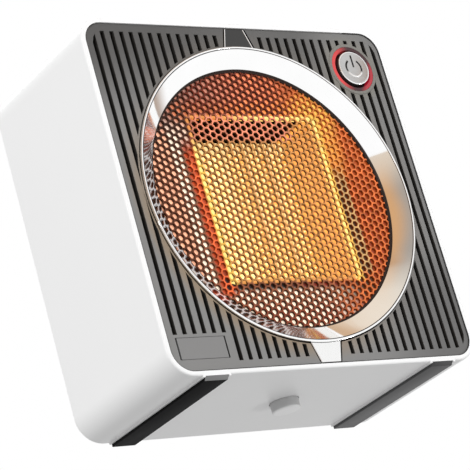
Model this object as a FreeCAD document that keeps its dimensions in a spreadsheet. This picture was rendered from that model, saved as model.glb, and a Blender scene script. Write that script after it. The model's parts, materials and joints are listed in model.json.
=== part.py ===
import FreeCAD, Part
import math
import os
import re

import Sketcher

# A free-standing cube fan heater, in millimetres.
# X runs to the right seen from the front, Y to the back and Z up. The origin lies on the plane of
# the feet, under the middle of the shell. A depth is measured back from the shell's front rim.

# Driving sizes
SIZES = {
    # housing shell
    "shell_width": 154,
    "shell_height": 154,
    "shell_depth": 72,
    "shell_wall": 2,
    "shell_corner": 11,
    "rim_round": 0.9,
    "boss_radius": 5,
    "boss_inset": 5.5,
    # feet
    "foot_width": 11,
    "foot_height": 1.6,
    "foot_inset": 20.3,
    "foot_chamfer": 0.4,
    "foot_lip_width": 1,
    "foot_lip_height": 0.5,
    "foot_gap": 0.1,
    # front panel
    "panel_gap": 0.3,
    "panel_recess": 0.5,
    "panel_thickness": 2.5,
    "skirt_width": 1.5,
    "skirt_depth": 2,
    "slot_pitch": 4.585,
    "slot_width": 1.8,
    "slot_side_margin": 2.7,
    "slot_end_margin": 3.35,
    "slot_corner": 5.5,
    "ring_border": 1.3,
    # blank badge
    "badge_width": 22.7,
    "badge_height": 8.8,
    "badge_thickness": 1,
    "badge_gap": 0.2,
    "badge_side_margin": 3.6,
    "badge_bottom_margin": 4.8,
    "badge_border": 1.5,
    # chrome ring and its trims
    "ring_margin": 8.7,
    "ring_dish": 8.7,
    "ring_proud": 1,
    "ring_lip": 1.4,
    "ring_lip_round": 0.35,
    "ring_depth": 5.4,
    "ring_edge": 0.4,
    "ring_seat": 1.9,
    "ring_barrel": 1.4,
    "ring_gap": 0.3,
    "trim_wide": 14.8,
    "trim_narrow": 9.6,
    "trim_end_margin": 0.3,
    "trim_thickness": 1,
    "trim_proud": 0.2,
    "trim_gap": 0.1,
    "trim_edge": 0.9,
    "window_thickness": 0.6,
    # guard and reflector
    "mesh_thickness": 0.8,
    "mesh_rim": 2.7,
    "mesh_pitch": 6.24,
    "mesh_web": 1,
    "mesh_gap": 0.2,
    "reflector_gap": 0.3,
    "reflector_thickness": 0.8,
    # chassis
    "chassis_thickness": 4,
    "chassis_ledge": 2.2,
    # heater duct and element
    "duct_side_margin": 24.3,
    "duct_end_margin": 20.3,
    "duct_wall": 1,
    "duct_flange_reach": 3.5,
    "duct_flange": 1.5,
    "duct_screw_reach": 1,
    "duct_tail": 1.5,
    "duct_rear_border": 4,
    "duct_rear_flange": 2,
    "element_thickness": 10,
    "element_gap": 0.2,
    "end_bar_height": 5,
    "ceramic_width": 3,
    "fin_pitch": 2.4,
    "fin_sheet": 0.3,
    "fin_gap": 0.05,
    "blade_width": 6.3,
    "blade_sheet": 0.8,
    "blade_length": 9,
    "blade_spacing": 48,
    "cutout_radius": 8,
    "cutout_height": 6,
    "cutout_stub_radius": 4,
    "cutout_stub_height": 3,
    "cutout_depth": 20,
    "fuse_radius": 2,
    "fuse_length": 12,
    "fuse_lead": 4,
    "fuse_lead_radius": 0.5,
    "fuse_depth": 15,
    "part_gap": 0.1,
    # fan and motor
    "shroud_plate": 2,
    "shroud_length": 14.5,
    "shroud_overlap": 2.2,
    "shroud_wall": 3,
    "fan_gap": 3,
    "fan_depth": 10,
    "fan_hub_radius": 13,
    "fan_root_radius": 10.4,
    "fan_tip_gap": 2.7,
    "fan_blade_sheet": 1.2,
    "fan_root_chord": 11,
    "fan_root_pitch": 48,
    "fan_tip_chord": 17,
    "fan_tip_pitch": 28,
    "shaft_radius": 1.5,
    "shaft_cover": 1,
    "shaft_tail": 7.5,
    "running_gap": 0.05,
    "fit_gap": 0.02,
    "bush_radius": 3.5,
    "bush_nose": 1,
    "bracket_thickness": 2,
    "bracket_hub_radius": 14.5,
    "bracket_arm": 6,
    "motor_radius": 14,
    "motor_length": 10,
    "motor_screw_spacing": 16,
    "motor_clearance": 1,
    # rear cover and gland
    "cover_thickness": 2.5,
    "intake_radius": 44,
    "intake_slot": 2.2,
    "intake_bar": 5,
    "gland_side": 25,
    "gland_height": 15,
    "gland_bore": 3.6,
    "gland_sleeve": 4.9,
    "gland_flange": 7,
    "gland_lip": 1,
    "gland_tail": 4,
    "gland_gap": 0.1,
    # power button
    "button_inset": 17.15,
    "button_radius": 8,
    "button_proud": 1.3,
    "button_height": 4.8,
    "button_round": 0.4,
    "button_travel": 1.2,
    "button_gap": 0.4,
    "light_ring_inner": 9,
    "light_ring_outer": 10.5,
    "light_ring_proud": 0.2,
    "light_ring_length": 3.2,
    "collar_radius": 12.2,
    "collar_gap": 0.2,
    "button_guide_length": 7.5,
    "button_guide_floor": 1,
    "button_stem_radius": 2,
    "button_stem_reach": 3.2,
    "button_coil_radius": 4,
    "button_wire": 0.3,
    "button_coils": 4,
    "switch_width": 12,
    "switch_height": 3.3,
    "switch_nub_radius": 1.75,
    "switch_nub": 1,
    "stop_gap": 0.3,
    # control board
    "board_width": 28,
    "board_height": 76,
    "board_thickness": 1.6,
    "board_margin": 5,
    "board_above_button": 5.5,
    "post_radius": 2.5,
    "post_inset": 3.8,
    "post_below_button": 9,
    "relay_width": 12,
    "relay_height": 18,
    "relay_depth": 11,
    "relay_rise": 12,
    "terminal_width": 10,
    "terminal_height": 22,
    "terminal_depth": 9,
    # tip-over plunger and its switch
    "plunger_radius": 6,
    "plunger_proud": 4.2,
    "plunger_round": 1,
    "plunger_gap": 0.3,
    "plunger_flange_radius": 7.6,
    "plunger_flange": 1.5,
    "plunger_travel": 3.6,
    "guide_wall": 1.5,
    "tip_switch_clearance": 1.75,
    "guide_cap": 2,
    "guide_foot_radius": 13,
    "guide_foot": 1.5,
    "stem_radius": 2,
    "stem_out": 0.5,
    "plunger_coil_radius": 5,
    "plunger_wire": 0.35,
    "plunger_coils": 5,
    "lever_gap": 0.3,
    "lever_sheet": 0.5,
    "lever_width": 4,
    "lever_arm": 12,
    "lever_tail": 4,
    "lever_barrel": 0.9,
    "lever_pin": 0.6,
    "tip_switch_length": 20,
    "tip_switch_width": 6.4,
    "tip_switch_height": 9,
    "tip_switch_gap": 1.2,
    "tip_switch_tail": 2,
    "tip_switch_button": 0.6,
    "tip_switch_button_arm": 7.2,
    "ear_width": 3,
    "ear_sheet": 0.8,
    "upright_sheet": 2,
    # screws
    "screw_radius": 1.4,
    "screw_head_radius": 2.8,
    "screw_head": 1.1,
    "screw_length": 10,
    "screw_gap": 0.05,
    "recess_width": 0.7,
    "recess_length": 3.4,
    "small_screw_radius": 0.9,
    "small_screw_head_radius": 1.7,
    "small_screw_head": 0.8,
    "small_screw_length": 5,
}
BLADE_COUNT = 7
CERAMIC_COUNT = 5

doc = FreeCAD.newDocument("fan_heater")
sheet = doc.addObject("Spreadsheet::Sheet", "Sizes")
for row, (size_name, size) in enumerate(SIZES.items(), start=1):
    sheet.set(f"A{row}", size_name)
    sheet.set(f"B{row}", str(size))
    sheet.setAlias(f"B{row}", size_name)
doc.recompute()

# Places worked out from the driving sizes
MIDDLE = "(foot_height + shell_height / 2)"
FRONT = "(-shell_depth / 2)"
FLOOR = "(foot_height + shell_wall)"
FOOT_X = "(shell_width / 2 - foot_inset)"
INNER_WIDTH = "(shell_width - 2 * shell_wall)"
INNER_HEIGHT = "(shell_height - 2 * shell_wall)"
PANEL_WIDTH = f"({INNER_WIDTH} - 2 * panel_gap)"
PANEL_HEIGHT = f"({INNER_HEIGHT} - 2 * panel_gap)"
PANEL_CORNER = "(shell_corner - shell_wall - panel_gap)"
PANEL_BACK = "(panel_recess + panel_thickness)"
CHASSIS_FRONT = f"({PANEL_BACK} + skirt_depth)"
CHASSIS_BACK = f"({CHASSIS_FRONT} + chassis_thickness)"
RING_OUTER = f"(min({PANEL_WIDTH}; {PANEL_HEIGHT}) / 2 - ring_margin)"
RING_INNER = f"({RING_OUTER} - ring_dish)"
MESH_BACK = "(ring_depth + mesh_thickness)"
MESH_RADIUS = f"({RING_INNER} + mesh_rim)"
REFLECTOR_FRONT = f"({MESH_BACK} + reflector_gap)"
REFLECTOR_BACK = f"({REFLECTOR_FRONT} + reflector_thickness)"
COVER_FRONT = "(shell_depth - cover_thickness)"
MOTOR_BACK = f"({COVER_FRONT} - motor_clearance)"
BRACKET_BACK = f"({MOTOR_BACK} - motor_length)"
SHROUD_BACK = f"({BRACKET_BACK} - bracket_thickness)"
DUCT_BACK = f"({SHROUD_BACK} - shroud_length)"
ELEMENT_BACK = f"({DUCT_BACK} - duct_tail)"
ELEMENT_FRONT = f"({ELEMENT_BACK} - element_thickness)"
DUCT_WIDTH = f"(2 * ({RING_INNER} - duct_side_margin))"
DUCT_HEIGHT = f"(2 * ({RING_INNER} - duct_end_margin))"
DUCT_FLANGE_RADIUS = f"({MESH_RADIUS} + duct_flange_reach)"
DUCT_SCREW_RADIUS = f"({MESH_RADIUS} + duct_screw_reach)"
ELEMENT_WIDTH = f"({DUCT_WIDTH} - 2 * element_gap)"
ELEMENT_HEIGHT = f"({DUCT_HEIGHT} - 2 * element_gap)"
FIN_HEIGHT = f"({ELEMENT_HEIGHT} - 2 * end_bar_height)"
FIN_WIDTH = f"(({ELEMENT_WIDTH} - {CERAMIC_COUNT} * ceramic_width) / {CERAMIC_COUNT + 1})"
DUCT_OUTER_WIDTH = f"({DUCT_WIDTH} + 2 * duct_wall)"
DUCT_OUTER_HEIGHT = f"({DUCT_HEIGHT} + 2 * duct_wall)"
DUCT_REAR_WIDTH = f"({DUCT_OUTER_WIDTH} + 2 * duct_rear_border)"
DUCT_REAR_HEIGHT = f"({DUCT_OUTER_HEIGHT} + 2 * duct_rear_border)"
SHROUD_PLATE_BACK = f"({DUCT_BACK} + shroud_plate)"
SHROUD_RADIUS = f"({DUCT_WIDTH} / 2 + shroud_overlap)"
SHROUD_OUTER = f"({SHROUD_RADIUS} + shroud_wall)"
FAN_FRONT = f"({DUCT_BACK} + fan_gap)"
FAN_BACK = f"({FAN_FRONT} + fan_depth)"
FAN_TIP_RADIUS = f"({SHROUD_RADIUS} - fan_tip_gap)"
BOSS_X = f"({INNER_WIDTH} / 2 - boss_inset)"
BOSS_Z = f"({INNER_HEIGHT} / 2 - boss_inset)"
GLAND_X = f"(gland_side - {INNER_WIDTH} / 2)"
GLAND_Z = f"(gland_height - {INNER_HEIGHT} / 2)"
BUTTON_X = f"({PANEL_WIDTH} / 2 - button_inset)"
BUTTON_Z = f"({PANEL_HEIGHT} / 2 - button_inset)"
CAP_FRONT = "(panel_recess - button_proud)"
CAP_BACK = f"({CAP_FRONT} + button_height)"
LIGHT_FRONT = "(panel_recess - light_ring_proud)"
LIGHT_BACK = f"({LIGHT_FRONT} + light_ring_length)"
GUIDE_BACK = f"({LIGHT_BACK} + button_guide_length)"
GUIDE_FLOOR = f"({GUIDE_BACK} - button_guide_floor)"
STEM_BACK = f"({GUIDE_BACK} + button_stem_reach)"
NUB_FRONT = f"({STEM_BACK} + button_travel + stop_gap)"
SWITCH_FRONT = f"({NUB_FRONT} + switch_nub)"
BOARD_FRONT = f"({SWITCH_FRONT} + switch_height)"
BOARD_BACK = f"({BOARD_FRONT} + board_thickness)"
BOARD_X = f"({INNER_WIDTH} / 2 - board_margin - board_width / 2)"
BOARD_Z = f"({BUTTON_Z} + board_above_button - board_height / 2)"
BADGE_X = f"(badge_side_margin + badge_width / 2 - {PANEL_WIDTH} / 2)"
BADGE_Z = f"(badge_bottom_margin + badge_height / 2 - {PANEL_HEIGHT} / 2)"
TRIM_FRONT = "(panel_recess - trim_proud)"
TRIM_BACK = f"({TRIM_FRONT} + trim_thickness)"
TRIM_END = f"({PANEL_HEIGHT} / 2 - trim_end_margin)"
PLUNGER_TIP = "(foot_height - plunger_proud)"
FLANGE_LOW = f"({FLOOR} + plunger_gap)"
FLANGE_HIGH = f"({FLANGE_LOW} + plunger_flange)"
TIP_SWITCH_HIGH = f"({MIDDLE} - {DUCT_REAR_HEIGHT} / 2 - tip_switch_clearance)"
TIP_SWITCH_LOW = f"({TIP_SWITCH_HIGH} - tip_switch_height)"
PIVOT_Z = f"({TIP_SWITCH_LOW} - tip_switch_gap)"
LEVER_REACH = "(stem_radius + lever_sheet / 2 + lever_gap)"
DOME_Z = f"({PIVOT_Z} - plunger_travel - {LEVER_REACH})"
GUIDE_TOP = f"({DOME_Z} - stem_out)"
GUIDE_CEILING = f"({GUIDE_TOP} - guide_cap)"
GUIDE_BORE = "(plunger_flange_radius + plunger_gap)"
TIP_SWITCH_X = "(tip_switch_length / 2 - tip_switch_tail - lever_arm)"
TIP_SWITCH_RISE = f"({TIP_SWITCH_LOW} + tip_switch_height / 2 - {MIDDLE})"
TIP_SWITCH_FRONT = "((shell_depth - tip_switch_width) / 2)"
TIP_SWITCH_BACK = "((shell_depth + tip_switch_width) / 2)"

ALONG_Y = FreeCAD.Rotation(FreeCAD.Vector(1, 0, 0), -90)


# Helpers

def formula(text):
    """Point every size name in a formula at its cell."""
    def to_cell(found):
        return f"Sizes.{found[0]}" if found[0] in SIZES else found[0]
    return re.sub(r"[a-z][a-z_]*", to_cell, text)


def number(text):
    """Work out a formula now, for a loop or a shape made in code."""
    return float(sheet.evalExpression(formula(text)))


def bind(item, **formulas):
    """Tie properties of a document object to formulas of sizes."""
    for path, text in formulas.items():
        item.setExpression(path, formula(text))


def place(item, x, y, z):
    """Tie an object's base point to formulas of sizes."""
    for axis, text in zip("xyz", (x, y, z)):
        item.setExpression(f"Placement.Base.{axis}", formula(text))


def block(name, width, height, near, far, x="0", z="0"):
    """Box between two depths, centred at x and z from the middle of the front."""
    box = doc.addObject("Part::Box", name)
    bind(box, Length=width, Width=f"{far} - {near}", Height=height)
    place(box, f"{x} - {width} / 2", f"{FRONT} + {near}", f"{MIDDLE} + {z} - {height} / 2")
    return box


def slab(name, width, depth, low, high, x="0", y="0"):
    """Box between two heights over the floor, centred at x and y."""
    box = doc.addObject("Part::Box", name)
    bind(box, Length=width, Width=depth, Height=f"{high} - {low}")
    place(box, f"{x} - {width} / 2", f"{y} - {depth} / 2", low)
    return box


def rod(name, radius, near, far, x="0", z="0"):
    """Cylinder along the depth, at x and z from the middle of the front."""
    cylinder = doc.addObject("Part::Cylinder", name)
    cylinder.Placement = FreeCAD.Placement(FreeCAD.Vector(), ALONG_Y)
    bind(cylinder, Radius=radius, Height=f"{far} - {near}")
    place(cylinder, x, f"{FRONT} + {near}", f"{MIDDLE} + {z}")
    return cylinder


def post(name, radius, low, high, x="0", y="0"):
    """Upright cylinder between two heights over the floor."""
    cylinder = doc.addObject("Part::Cylinder", name)
    bind(cylinder, Radius=radius, Height=f"{high} - {low}")
    place(cylinder, x, y, low)
    return cylinder


def fuse(name, *pieces):
    """Join pieces into one solid."""
    joined = doc.addObject("Part::MultiFuse", name)
    joined.Shapes = list(pieces)
    joined.Refine = True
    return joined


def cut(name, base, *tools):
    """Take tools away from a base."""
    result = doc.addObject("Part::Cut", name)
    result.Base = base
    result.Tool = tools[0] if len(tools) == 1 else fuse(name + "_tools", *tools)
    result.Refine = True
    return result


def common(name, *pieces):
    """Keep what pieces share."""
    shared = doc.addObject("Part::MultiCommon", name)
    shared.Shapes = list(pieces)
    return shared


def group(name, *pieces):
    """Hold identical pieces together as separate solids."""
    compound = doc.addObject("Part::Compound", name)
    compound.Links = list(pieces)
    return compound


def solid_from(name, shape, x="0", y="0", z="0"):
    """Document object for a shape made in code."""
    feature = doc.addObject("Part::Feature", name)
    feature.Shape = shape
    place(feature, x, y, z)
    return feature


def new_sketch(body, plane, name):
    """Sketch on one of the body's own origin planes."""
    sketch = body.newObject("Sketcher::SketchObject", name)
    origin_plane = [item for item in body.Origin.OriginFeatures if item.Role == plane][0]
    sketch.AttachmentSupport = [(origin_plane, "")]
    sketch.MapMode = "FlatFace"
    return sketch


def draw_rounded(sketch, mark, width, height, radius):
    """Rounded rectangle about the sketch's origin, with its sizes tied to formulas."""
    right, top, bend = number(width) / 2, number(height) / 2, number(radius)
    first = sketch.GeometryCount
    turns = [(right - bend, bend - top), (right - bend, top - bend),
             (bend - right, top - bend), (bend - right, bend - top)]
    for turn, (x, y) in enumerate(turns):
        angle = math.radians(90 * turn - 90)
        back_x, back_y = turns[turn - 1]
        offset_x, offset_y = bend * math.cos(angle), bend * math.sin(angle)
        line = Part.LineSegment(FreeCAD.Vector(back_x + offset_x, back_y + offset_y),
                                FreeCAD.Vector(x + offset_x, y + offset_y))
        circle = Part.Circle(FreeCAD.Vector(x, y), FreeCAD.Vector(0, 0, 1), bend)
        sketch.addGeometry(line)
        sketch.addGeometry(Part.ArcOfCircle(circle, angle, angle + math.pi / 2))
    for side in range(4):
        line, arc, following = first + 2 * side, first + 2 * side + 1, first + (2 * side + 2) % 8
        sketch.addConstraint(Sketcher.Constraint("Tangent", line, 2, arc, 1))
        sketch.addConstraint(Sketcher.Constraint("Tangent", arc, 2, following, 1))
        sketch.addConstraint(Sketcher.Constraint("Vertical" if side % 2 else "Horizontal", line))
        if side:
            sketch.addConstraint(Sketcher.Constraint("Equal", first + 1, arc))
    sketch.addConstraint(Sketcher.Constraint("Symmetric", first + 1, 3, first + 5, 3, -1, 1))
    dimensions = {
        "bend": (Sketcher.Constraint("Radius", first + 1, bend), radius),
        "width": (Sketcher.Constraint("DistanceX", first + 6, 1, first + 2, 1, 2 * right), width),
        "height": (Sketcher.Constraint("DistanceY", first, 1, first + 4, 1, 2 * top), height),
    }
    for word, (constraint, text) in dimensions.items():
        index = sketch.addConstraint(constraint)
        sketch.renameConstraint(index, f"{mark}_{word}")
        sketch.setExpression(f"Constraints.{mark}_{word}", formula(text))


def draw_outline(sketch, points):
    """Closed outline of straight sides whose corners are tied to formulas."""
    corners = [FreeCAD.Vector(number(x), number(y)) for x, y in points]
    for index, corner in enumerate(corners):
        sketch.addGeometry(Part.LineSegment(corners[index - 1], corner))
    for index, (x, y) in enumerate(points):
        sketch.addConstraint(Sketcher.Constraint("Coincident", index, 2, (index + 1) % len(points), 1))
        for word, axis, text in (("across", "DistanceX", x), ("up", "DistanceY", y)):
            constraint = Sketcher.Constraint(axis, -1, 1, index, 2, number(text))
            mark = f"{word}_{index}"
            sketch.renameConstraint(sketch.addConstraint(constraint), mark)
            sketch.setExpression(f"Constraints.{mark}", formula(text))


def pad(body, sketch, name, length):
    """Thicken a sketch on the XZ plane towards the back."""
    feature = body.newObject("PartDesign::Pad", name)
    feature.Profile = sketch
    feature.Reversed = True
    bind(feature, Length=length)
    return feature


def rounded_plate(name, width, height, corner, near, far, hole=None):
    """Plate with rounded corners between two depths; hole gives a rounded opening's three sizes."""
    body = doc.addObject("PartDesign::Body", name)
    sketch = new_sketch(body, "XZ_Plane", name + "_outline")
    draw_rounded(sketch, "outer", width, height, corner)
    if hole:
        draw_rounded(sketch, "inner", *hole)
    pad(body, sketch, name + "_pad", f"{far} - {near}")
    place(body, "0", f"{FRONT} + {near}", MIDDLE)
    return body


def outline_plate(name, points, near, far):
    """Plate of a straight-sided outline, seen from the front, between two depths."""
    body = doc.addObject("PartDesign::Body", name)
    sketch = new_sketch(body, "XZ_Plane", name + "_outline")
    draw_outline(sketch, points)
    pad(body, sketch, name + "_pad", f"{far} - {near}")
    place(body, "0", f"{FRONT} + {near}", MIDDLE)
    return body


def turned(name, plane, axis, points):
    """Body of revolution of an outline about one of its sketch's axes."""
    body = doc.addObject("PartDesign::Body", name)
    sketch = new_sketch(body, plane, name + "_profile")
    draw_outline(sketch, points)
    turn = body.newObject("PartDesign::Revolution", name + "_turn")
    turn.Profile = sketch
    turn.ReferenceAxis = (sketch, [axis])
    turn.Angle = 360
    return body


def round_edges(body, name, radius, wanted):
    """Round the edges of a body's last feature that a test picks out."""
    doc.recompute()
    base = body.Tip
    names = [f"Edge{index}" for index, edge in enumerate(base.Shape.Edges, start=1) if wanted(edge)]
    feature = body.newObject("PartDesign::Fillet", name)
    feature.Base = (base, names)
    bind(feature, Radius=radius)


def lies_at(edge, axis, level):
    """Whether an edge lies in the plane where one coordinate has a given level."""
    box = edge.BoundBox
    low, high = getattr(box, axis + "Min"), getattr(box, axis + "Max")
    return abs(low - level) < 1e-4 and abs(high - level) < 1e-4


def screw(name, x, z, head, shank, radii):
    """Screw along the depth: head and shank are pairs of depths, radii their two radii."""
    parts = [rod(f"{name}_head", radii[0], *head, x, z), rod(f"{name}_shank", radii[1], *shank, x, z)]
    return fuse(name, *parts)


def pilots(name, places, near, far, thread="small_screw_radius"):
    """Screw holes at several places, between two depths."""
    return [rod(f"{name}_{index}", f"{thread} + screw_gap", near, far, x, z)
            for index, (x, z) in enumerate(places)]


def four_corners(x, z):
    """The four mirror images of one place on the front."""
    return [(f"{side} * {x}", f"{rise} * {z}") for side in (1, -1) for rise in (1, -1)]


def coil(radius, wire, length, turns):
    """Spring wire about Z, wound from quarter-turn arcs and standing between 0 and length."""
    rise = length - 2 * wire

    def on_helix(quarter):
        angle = quarter * math.pi / 2
        return FreeCAD.Vector(radius * math.cos(angle), radius * math.sin(angle),
                              wire + rise * quarter / (4 * turns))
    arcs = [Part.Arc(on_helix(step), on_helix(step + 0.5), on_helix(step + 1)).toShape()
            for step in range(int(4 * turns))]
    path = Part.Wire(arcs)
    heading = on_helix(0.001) - on_helix(0)
    section = Part.Wire(Part.makeCircle(wire, on_helix(0), heading))
    return Part.Solid(path.makePipeShell([section], True, False))


# Housing: a rounded square sleeve, open at both ends, with corner bosses and foot rails

def housing_shell():
    sleeve = rounded_plate("shell_sleeve", "shell_width", "shell_height", "shell_corner", "0",
                           "shell_depth", (INNER_WIDTH, INNER_HEIGHT, "shell_corner - shell_wall"))
    outside = number(f"({INNER_WIDTH} + shell_wall) / 2")
    levels = (0, number("shell_depth"))

    def on_rim(edge):
        box = edge.BoundBox
        reach = max(abs(box.XMin), abs(box.XMax), abs(box.ZMin), abs(box.ZMax))
        return reach > outside and any(lies_at(edge, "Y", level) for level in levels)
    round_edges(sleeve, "shell_rim", "rim_round", on_rim)
    corners = four_corners(BOSS_X, BOSS_Z)
    solids = [sleeve] + [rod(f"boss_{index}", "boss_radius", CHASSIS_BACK, COVER_FRONT, x, z)
                         for index, (x, z) in enumerate(corners)]
    holes = pilots("boss_front", corners, CHASSIS_BACK, f"({CHASSIS_BACK} + screw_length)", "screw_radius")
    holes += pilots("boss_rear", corners, f"({COVER_FRONT} - screw_length)", COVER_FRONT, "screw_radius")
    for side, name in ((-1, "left"), (1, "right")):
        centre = f"{side} * {FOOT_X}"
        rail = ("(foot_width + 2 * foot_lip_width)", "shell_depth", "(foot_height - foot_lip_height)", FLOOR)
        solids.append(slab(f"rail_{name}", *rail, centre))
        groove = ("(foot_width + 2 * foot_gap)", "shell_depth", "0", "foot_height")
        holes.append(slab(f"groove_{name}", *groove, centre))
    holes.append(post("plunger_hole", "plunger_radius + plunger_gap", "0", f"({FLOOR} + foot_height)"))
    return cut("housing_shell", fuse("shell_blank", *solids), *holes)


def feet():
    profile = [("foot_width / 2", "foot_height"), ("-foot_width / 2", "foot_height"),
               ("-foot_width / 2", "foot_chamfer"), ("foot_chamfer - foot_width / 2", "0"),
               ("foot_width / 2 - foot_chamfer", "0"), ("foot_width / 2", "foot_chamfer")]
    strips = []
    for side, name in ((-1, "foot_left"), (1, "foot_right")):
        strip = outline_plate(name, profile, "0", "shell_depth")
        place(strip, f"{side} * {FOOT_X}", FRONT, "0")
        strips.append(strip)
    return strips


# Front: slotted panel, blank badge, chrome ring with its two trims

def slot_bars(name, width, near, far, first):
    """Upright slots on both sides of the middle, at the panel's pitch."""
    reach = number(f"({PANEL_WIDTH} / 2 - slot_side_margin - {width} / 2) / slot_pitch - 0.5")
    bars = []
    for step in range(first, math.floor(reach + 1e-6) + 1):
        for side in (-1, 1):
            centre = f"{side * (step + 0.5)} * slot_pitch"
            bars.append(block(f"{name}_{len(bars)}", width, PANEL_HEIGHT, near, far, centre))
    return fuse(name, *bars)


def trim_outline(rise, border, gap):
    """Corners of a trim that narrows from the ring to the panel's edge; rise is 1 at the top."""
    wide = f"(trim_wide / 2 - {border} + {gap})"
    narrow = f"(trim_narrow / 2 - {border} + {gap})"
    inner = f"{rise} * ({RING_OUTER} - ring_lip + {border})"
    outer = f"{rise} * ({TRIM_END} - {border} + {gap})"
    return [(wide, inner), (f"-{wide}", inner), (f"-{narrow}", outer), (narrow, outer)]


def front_panel():
    blank = fuse(
        "panel_blank",
        rounded_plate("panel_face", PANEL_WIDTH, PANEL_HEIGHT, PANEL_CORNER, "panel_recess", PANEL_BACK),
        rounded_plate("panel_skirt", PANEL_WIDTH, PANEL_HEIGHT, PANEL_CORNER, PANEL_BACK, CHASSIS_FRONT,
                      (f"({PANEL_WIDTH} - 2 * skirt_width)", f"({PANEL_HEIGHT} - 2 * skirt_width)",
                       f"({PANEL_CORNER} - skirt_width)")))
    depths = ("panel_recess", PANEL_BACK)
    field = rounded_plate("slot_field", f"({PANEL_WIDTH} - 2 * slot_side_margin)",
                          f"({PANEL_HEIGHT} - 2 * slot_end_margin)", "slot_corner", *depths)
    badge_corner = block("badge_margin", "(badge_side_margin + badge_width + badge_border)",
                         "(badge_bottom_margin + badge_height + badge_border)", *depths,
                         f"((badge_side_margin + badge_width + badge_border - {PANEL_WIDTH}) / 2)",
                         f"((badge_bottom_margin + badge_height + badge_border - {PANEL_HEIGHT}) / 2)")
    open_field = cut("slot_open_field", field, badge_corner,
                     rod("ring_surround", f"{RING_OUTER} + ring_border", *depths),
                     rod("collar_margin", "collar_radius", *depths, BUTTON_X, BUTTON_Z))
    first = math.ceil(number("(trim_wide + slot_width) / 2 / slot_pitch"))
    slots = common("slots", slot_bars("slot", "slot_width", *depths, first), open_field)
    trims = [outline_plate(f"trim_pocket_{rise}", trim_outline(rise, "0", "trim_gap"),
                           "panel_recess", TRIM_BACK) for rise in (1, -1)]
    head_rooms = [rod(f"head_room_{index}", "screw_head_radius + part_gap", PANEL_BACK, CHASSIS_FRONT, x, z)
                  for index, (x, z) in enumerate(four_corners(BOSS_X, BOSS_Z))]
    return cut("front_panel", blank, slots, *trims, *head_rooms,
               rod("ring_hole", f"{RING_OUTER} - ring_barrel", *depths),
               rod("button_hole", "light_ring_outer + collar_gap", *depths, BUTTON_X, BUTTON_Z),
               block("badge_pocket", "(badge_width + 2 * badge_gap)", "(badge_height + 2 * badge_gap)",
                     "panel_recess", "(panel_recess + badge_thickness)", BADGE_X, BADGE_Z))


def blank_badge():
    return block("blank_badge", "badge_width", "badge_height", "panel_recess",
                 "(panel_recess + badge_thickness)", BADGE_X, BADGE_Z)


def chrome_ring():
    barrel = f"({RING_OUTER} - ring_barrel - ring_gap)"
    back = "(ring_proud + ring_depth - panel_recess)"
    ring = turned("chrome_ring", "XY_Plane", "V_Axis", [
        (RING_OUTER, "ring_proud"), (RING_OUTER, "0"),
        (f"{RING_OUTER} - ring_lip", "0"), (RING_INNER, f"{back} - ring_edge"),
        (RING_INNER, back), (f"{RING_INNER} + ring_seat", back),
        (barrel, "ring_proud + ring_barrel"), (barrel, "ring_proud")])
    place(ring, "0", f"{FRONT} + panel_recess - ring_proud", MIDDLE)
    round_edges(ring, "ring_lip_edges", "ring_lip_round", lambda edge: lies_at(edge, "Y", 0))
    return ring


def trims():
    ring_room = rod("trim_ring_room", f"{RING_OUTER} + trim_gap", TRIM_FRONT, TRIM_BACK)
    window_back = f"({TRIM_FRONT} + window_thickness)"
    top = outline_plate("top_trim_blank", trim_outline(1, "0", "0"), TRIM_FRONT, TRIM_BACK)
    pocket = outline_plate("window_pocket", trim_outline(1, "trim_edge", "0"), TRIM_FRONT, window_back)
    pane = outline_plate("window_pane", trim_outline(1, "trim_edge", "-fit_gap"), TRIM_FRONT, window_back)
    bottom = outline_plate("bottom_trim_blank", trim_outline(-1, "0", "0"), TRIM_FRONT, TRIM_BACK)
    pane_room = rod("pane_ring_room", f"{RING_OUTER} + trim_edge + fit_gap", TRIM_FRONT, window_back)
    pocket_room = rod("pocket_ring_room", f"{RING_OUTER} + trim_edge", TRIM_FRONT, window_back)
    return [cut("top_trim", top, ring_room, cut("window_recess", pocket, pocket_room)),
            cut("top_trim_window", pane, pane_room),
            cut("bottom_trim", bottom, ring_room)]


# Behind the ring: guard, reflector and the chassis that carries them

def mesh_guard():
    pitch, limit = number("mesh_pitch"), number(RING_INNER)
    column_step = pitch * math.cos(math.radians(30))
    corner = (pitch - number("mesh_web")) / 2 / math.cos(math.radians(30))
    wires = [Part.Wire(Part.makeCircle(number(MESH_RADIUS), FreeCAD.Vector(), FreeCAD.Vector(0, 1, 0)))]
    columns, rows = int(limit / column_step), int(limit / pitch) + 1
    for column in range(-columns, columns + 1):
        for row in range(-rows, rows + 1):
            x, z = column * column_step, (row + column % 2 / 2) * pitch
            if math.hypot(x, z) + corner < limit:
                angles = [math.radians(60 * turn) for turn in range(7)]
                wires.append(Part.makePolygon([
                    FreeCAD.Vector(x + corner * math.cos(a), 0, z + corner * math.sin(a)) for a in angles]))
    face = Part.makeFace(wires, "Part::FaceMakerBullseye")
    guard = face.extrude(FreeCAD.Vector(0, number("mesh_thickness"), 0))
    print("guard holes", len(wires) - 1)
    return solid_from("mesh_guard", guard, "0", f"{FRONT} + ring_depth", MIDDLE)


def reflector_plate():
    depths = (REFLECTOR_FRONT, REFLECTOR_BACK)
    return cut("reflector_plate", rod("reflector_disc", MESH_RADIUS, *depths),
               block("reflector_window", DUCT_WIDTH, DUCT_HEIGHT, *depths))


def board_posts():
    """Places of the control board's posts: two on its outer edge, one beside the button."""
    right, left = f"({BOARD_X} + board_width / 2 - post_inset)", f"({BOARD_X} - board_width / 2 + post_inset)"
    low = f"({BOARD_Z} - board_height / 2 + post_inset)"
    return [(right, low), (right, BOARD_Z), (left, f"({BUTTON_Z} - post_below_button)")]


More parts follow.
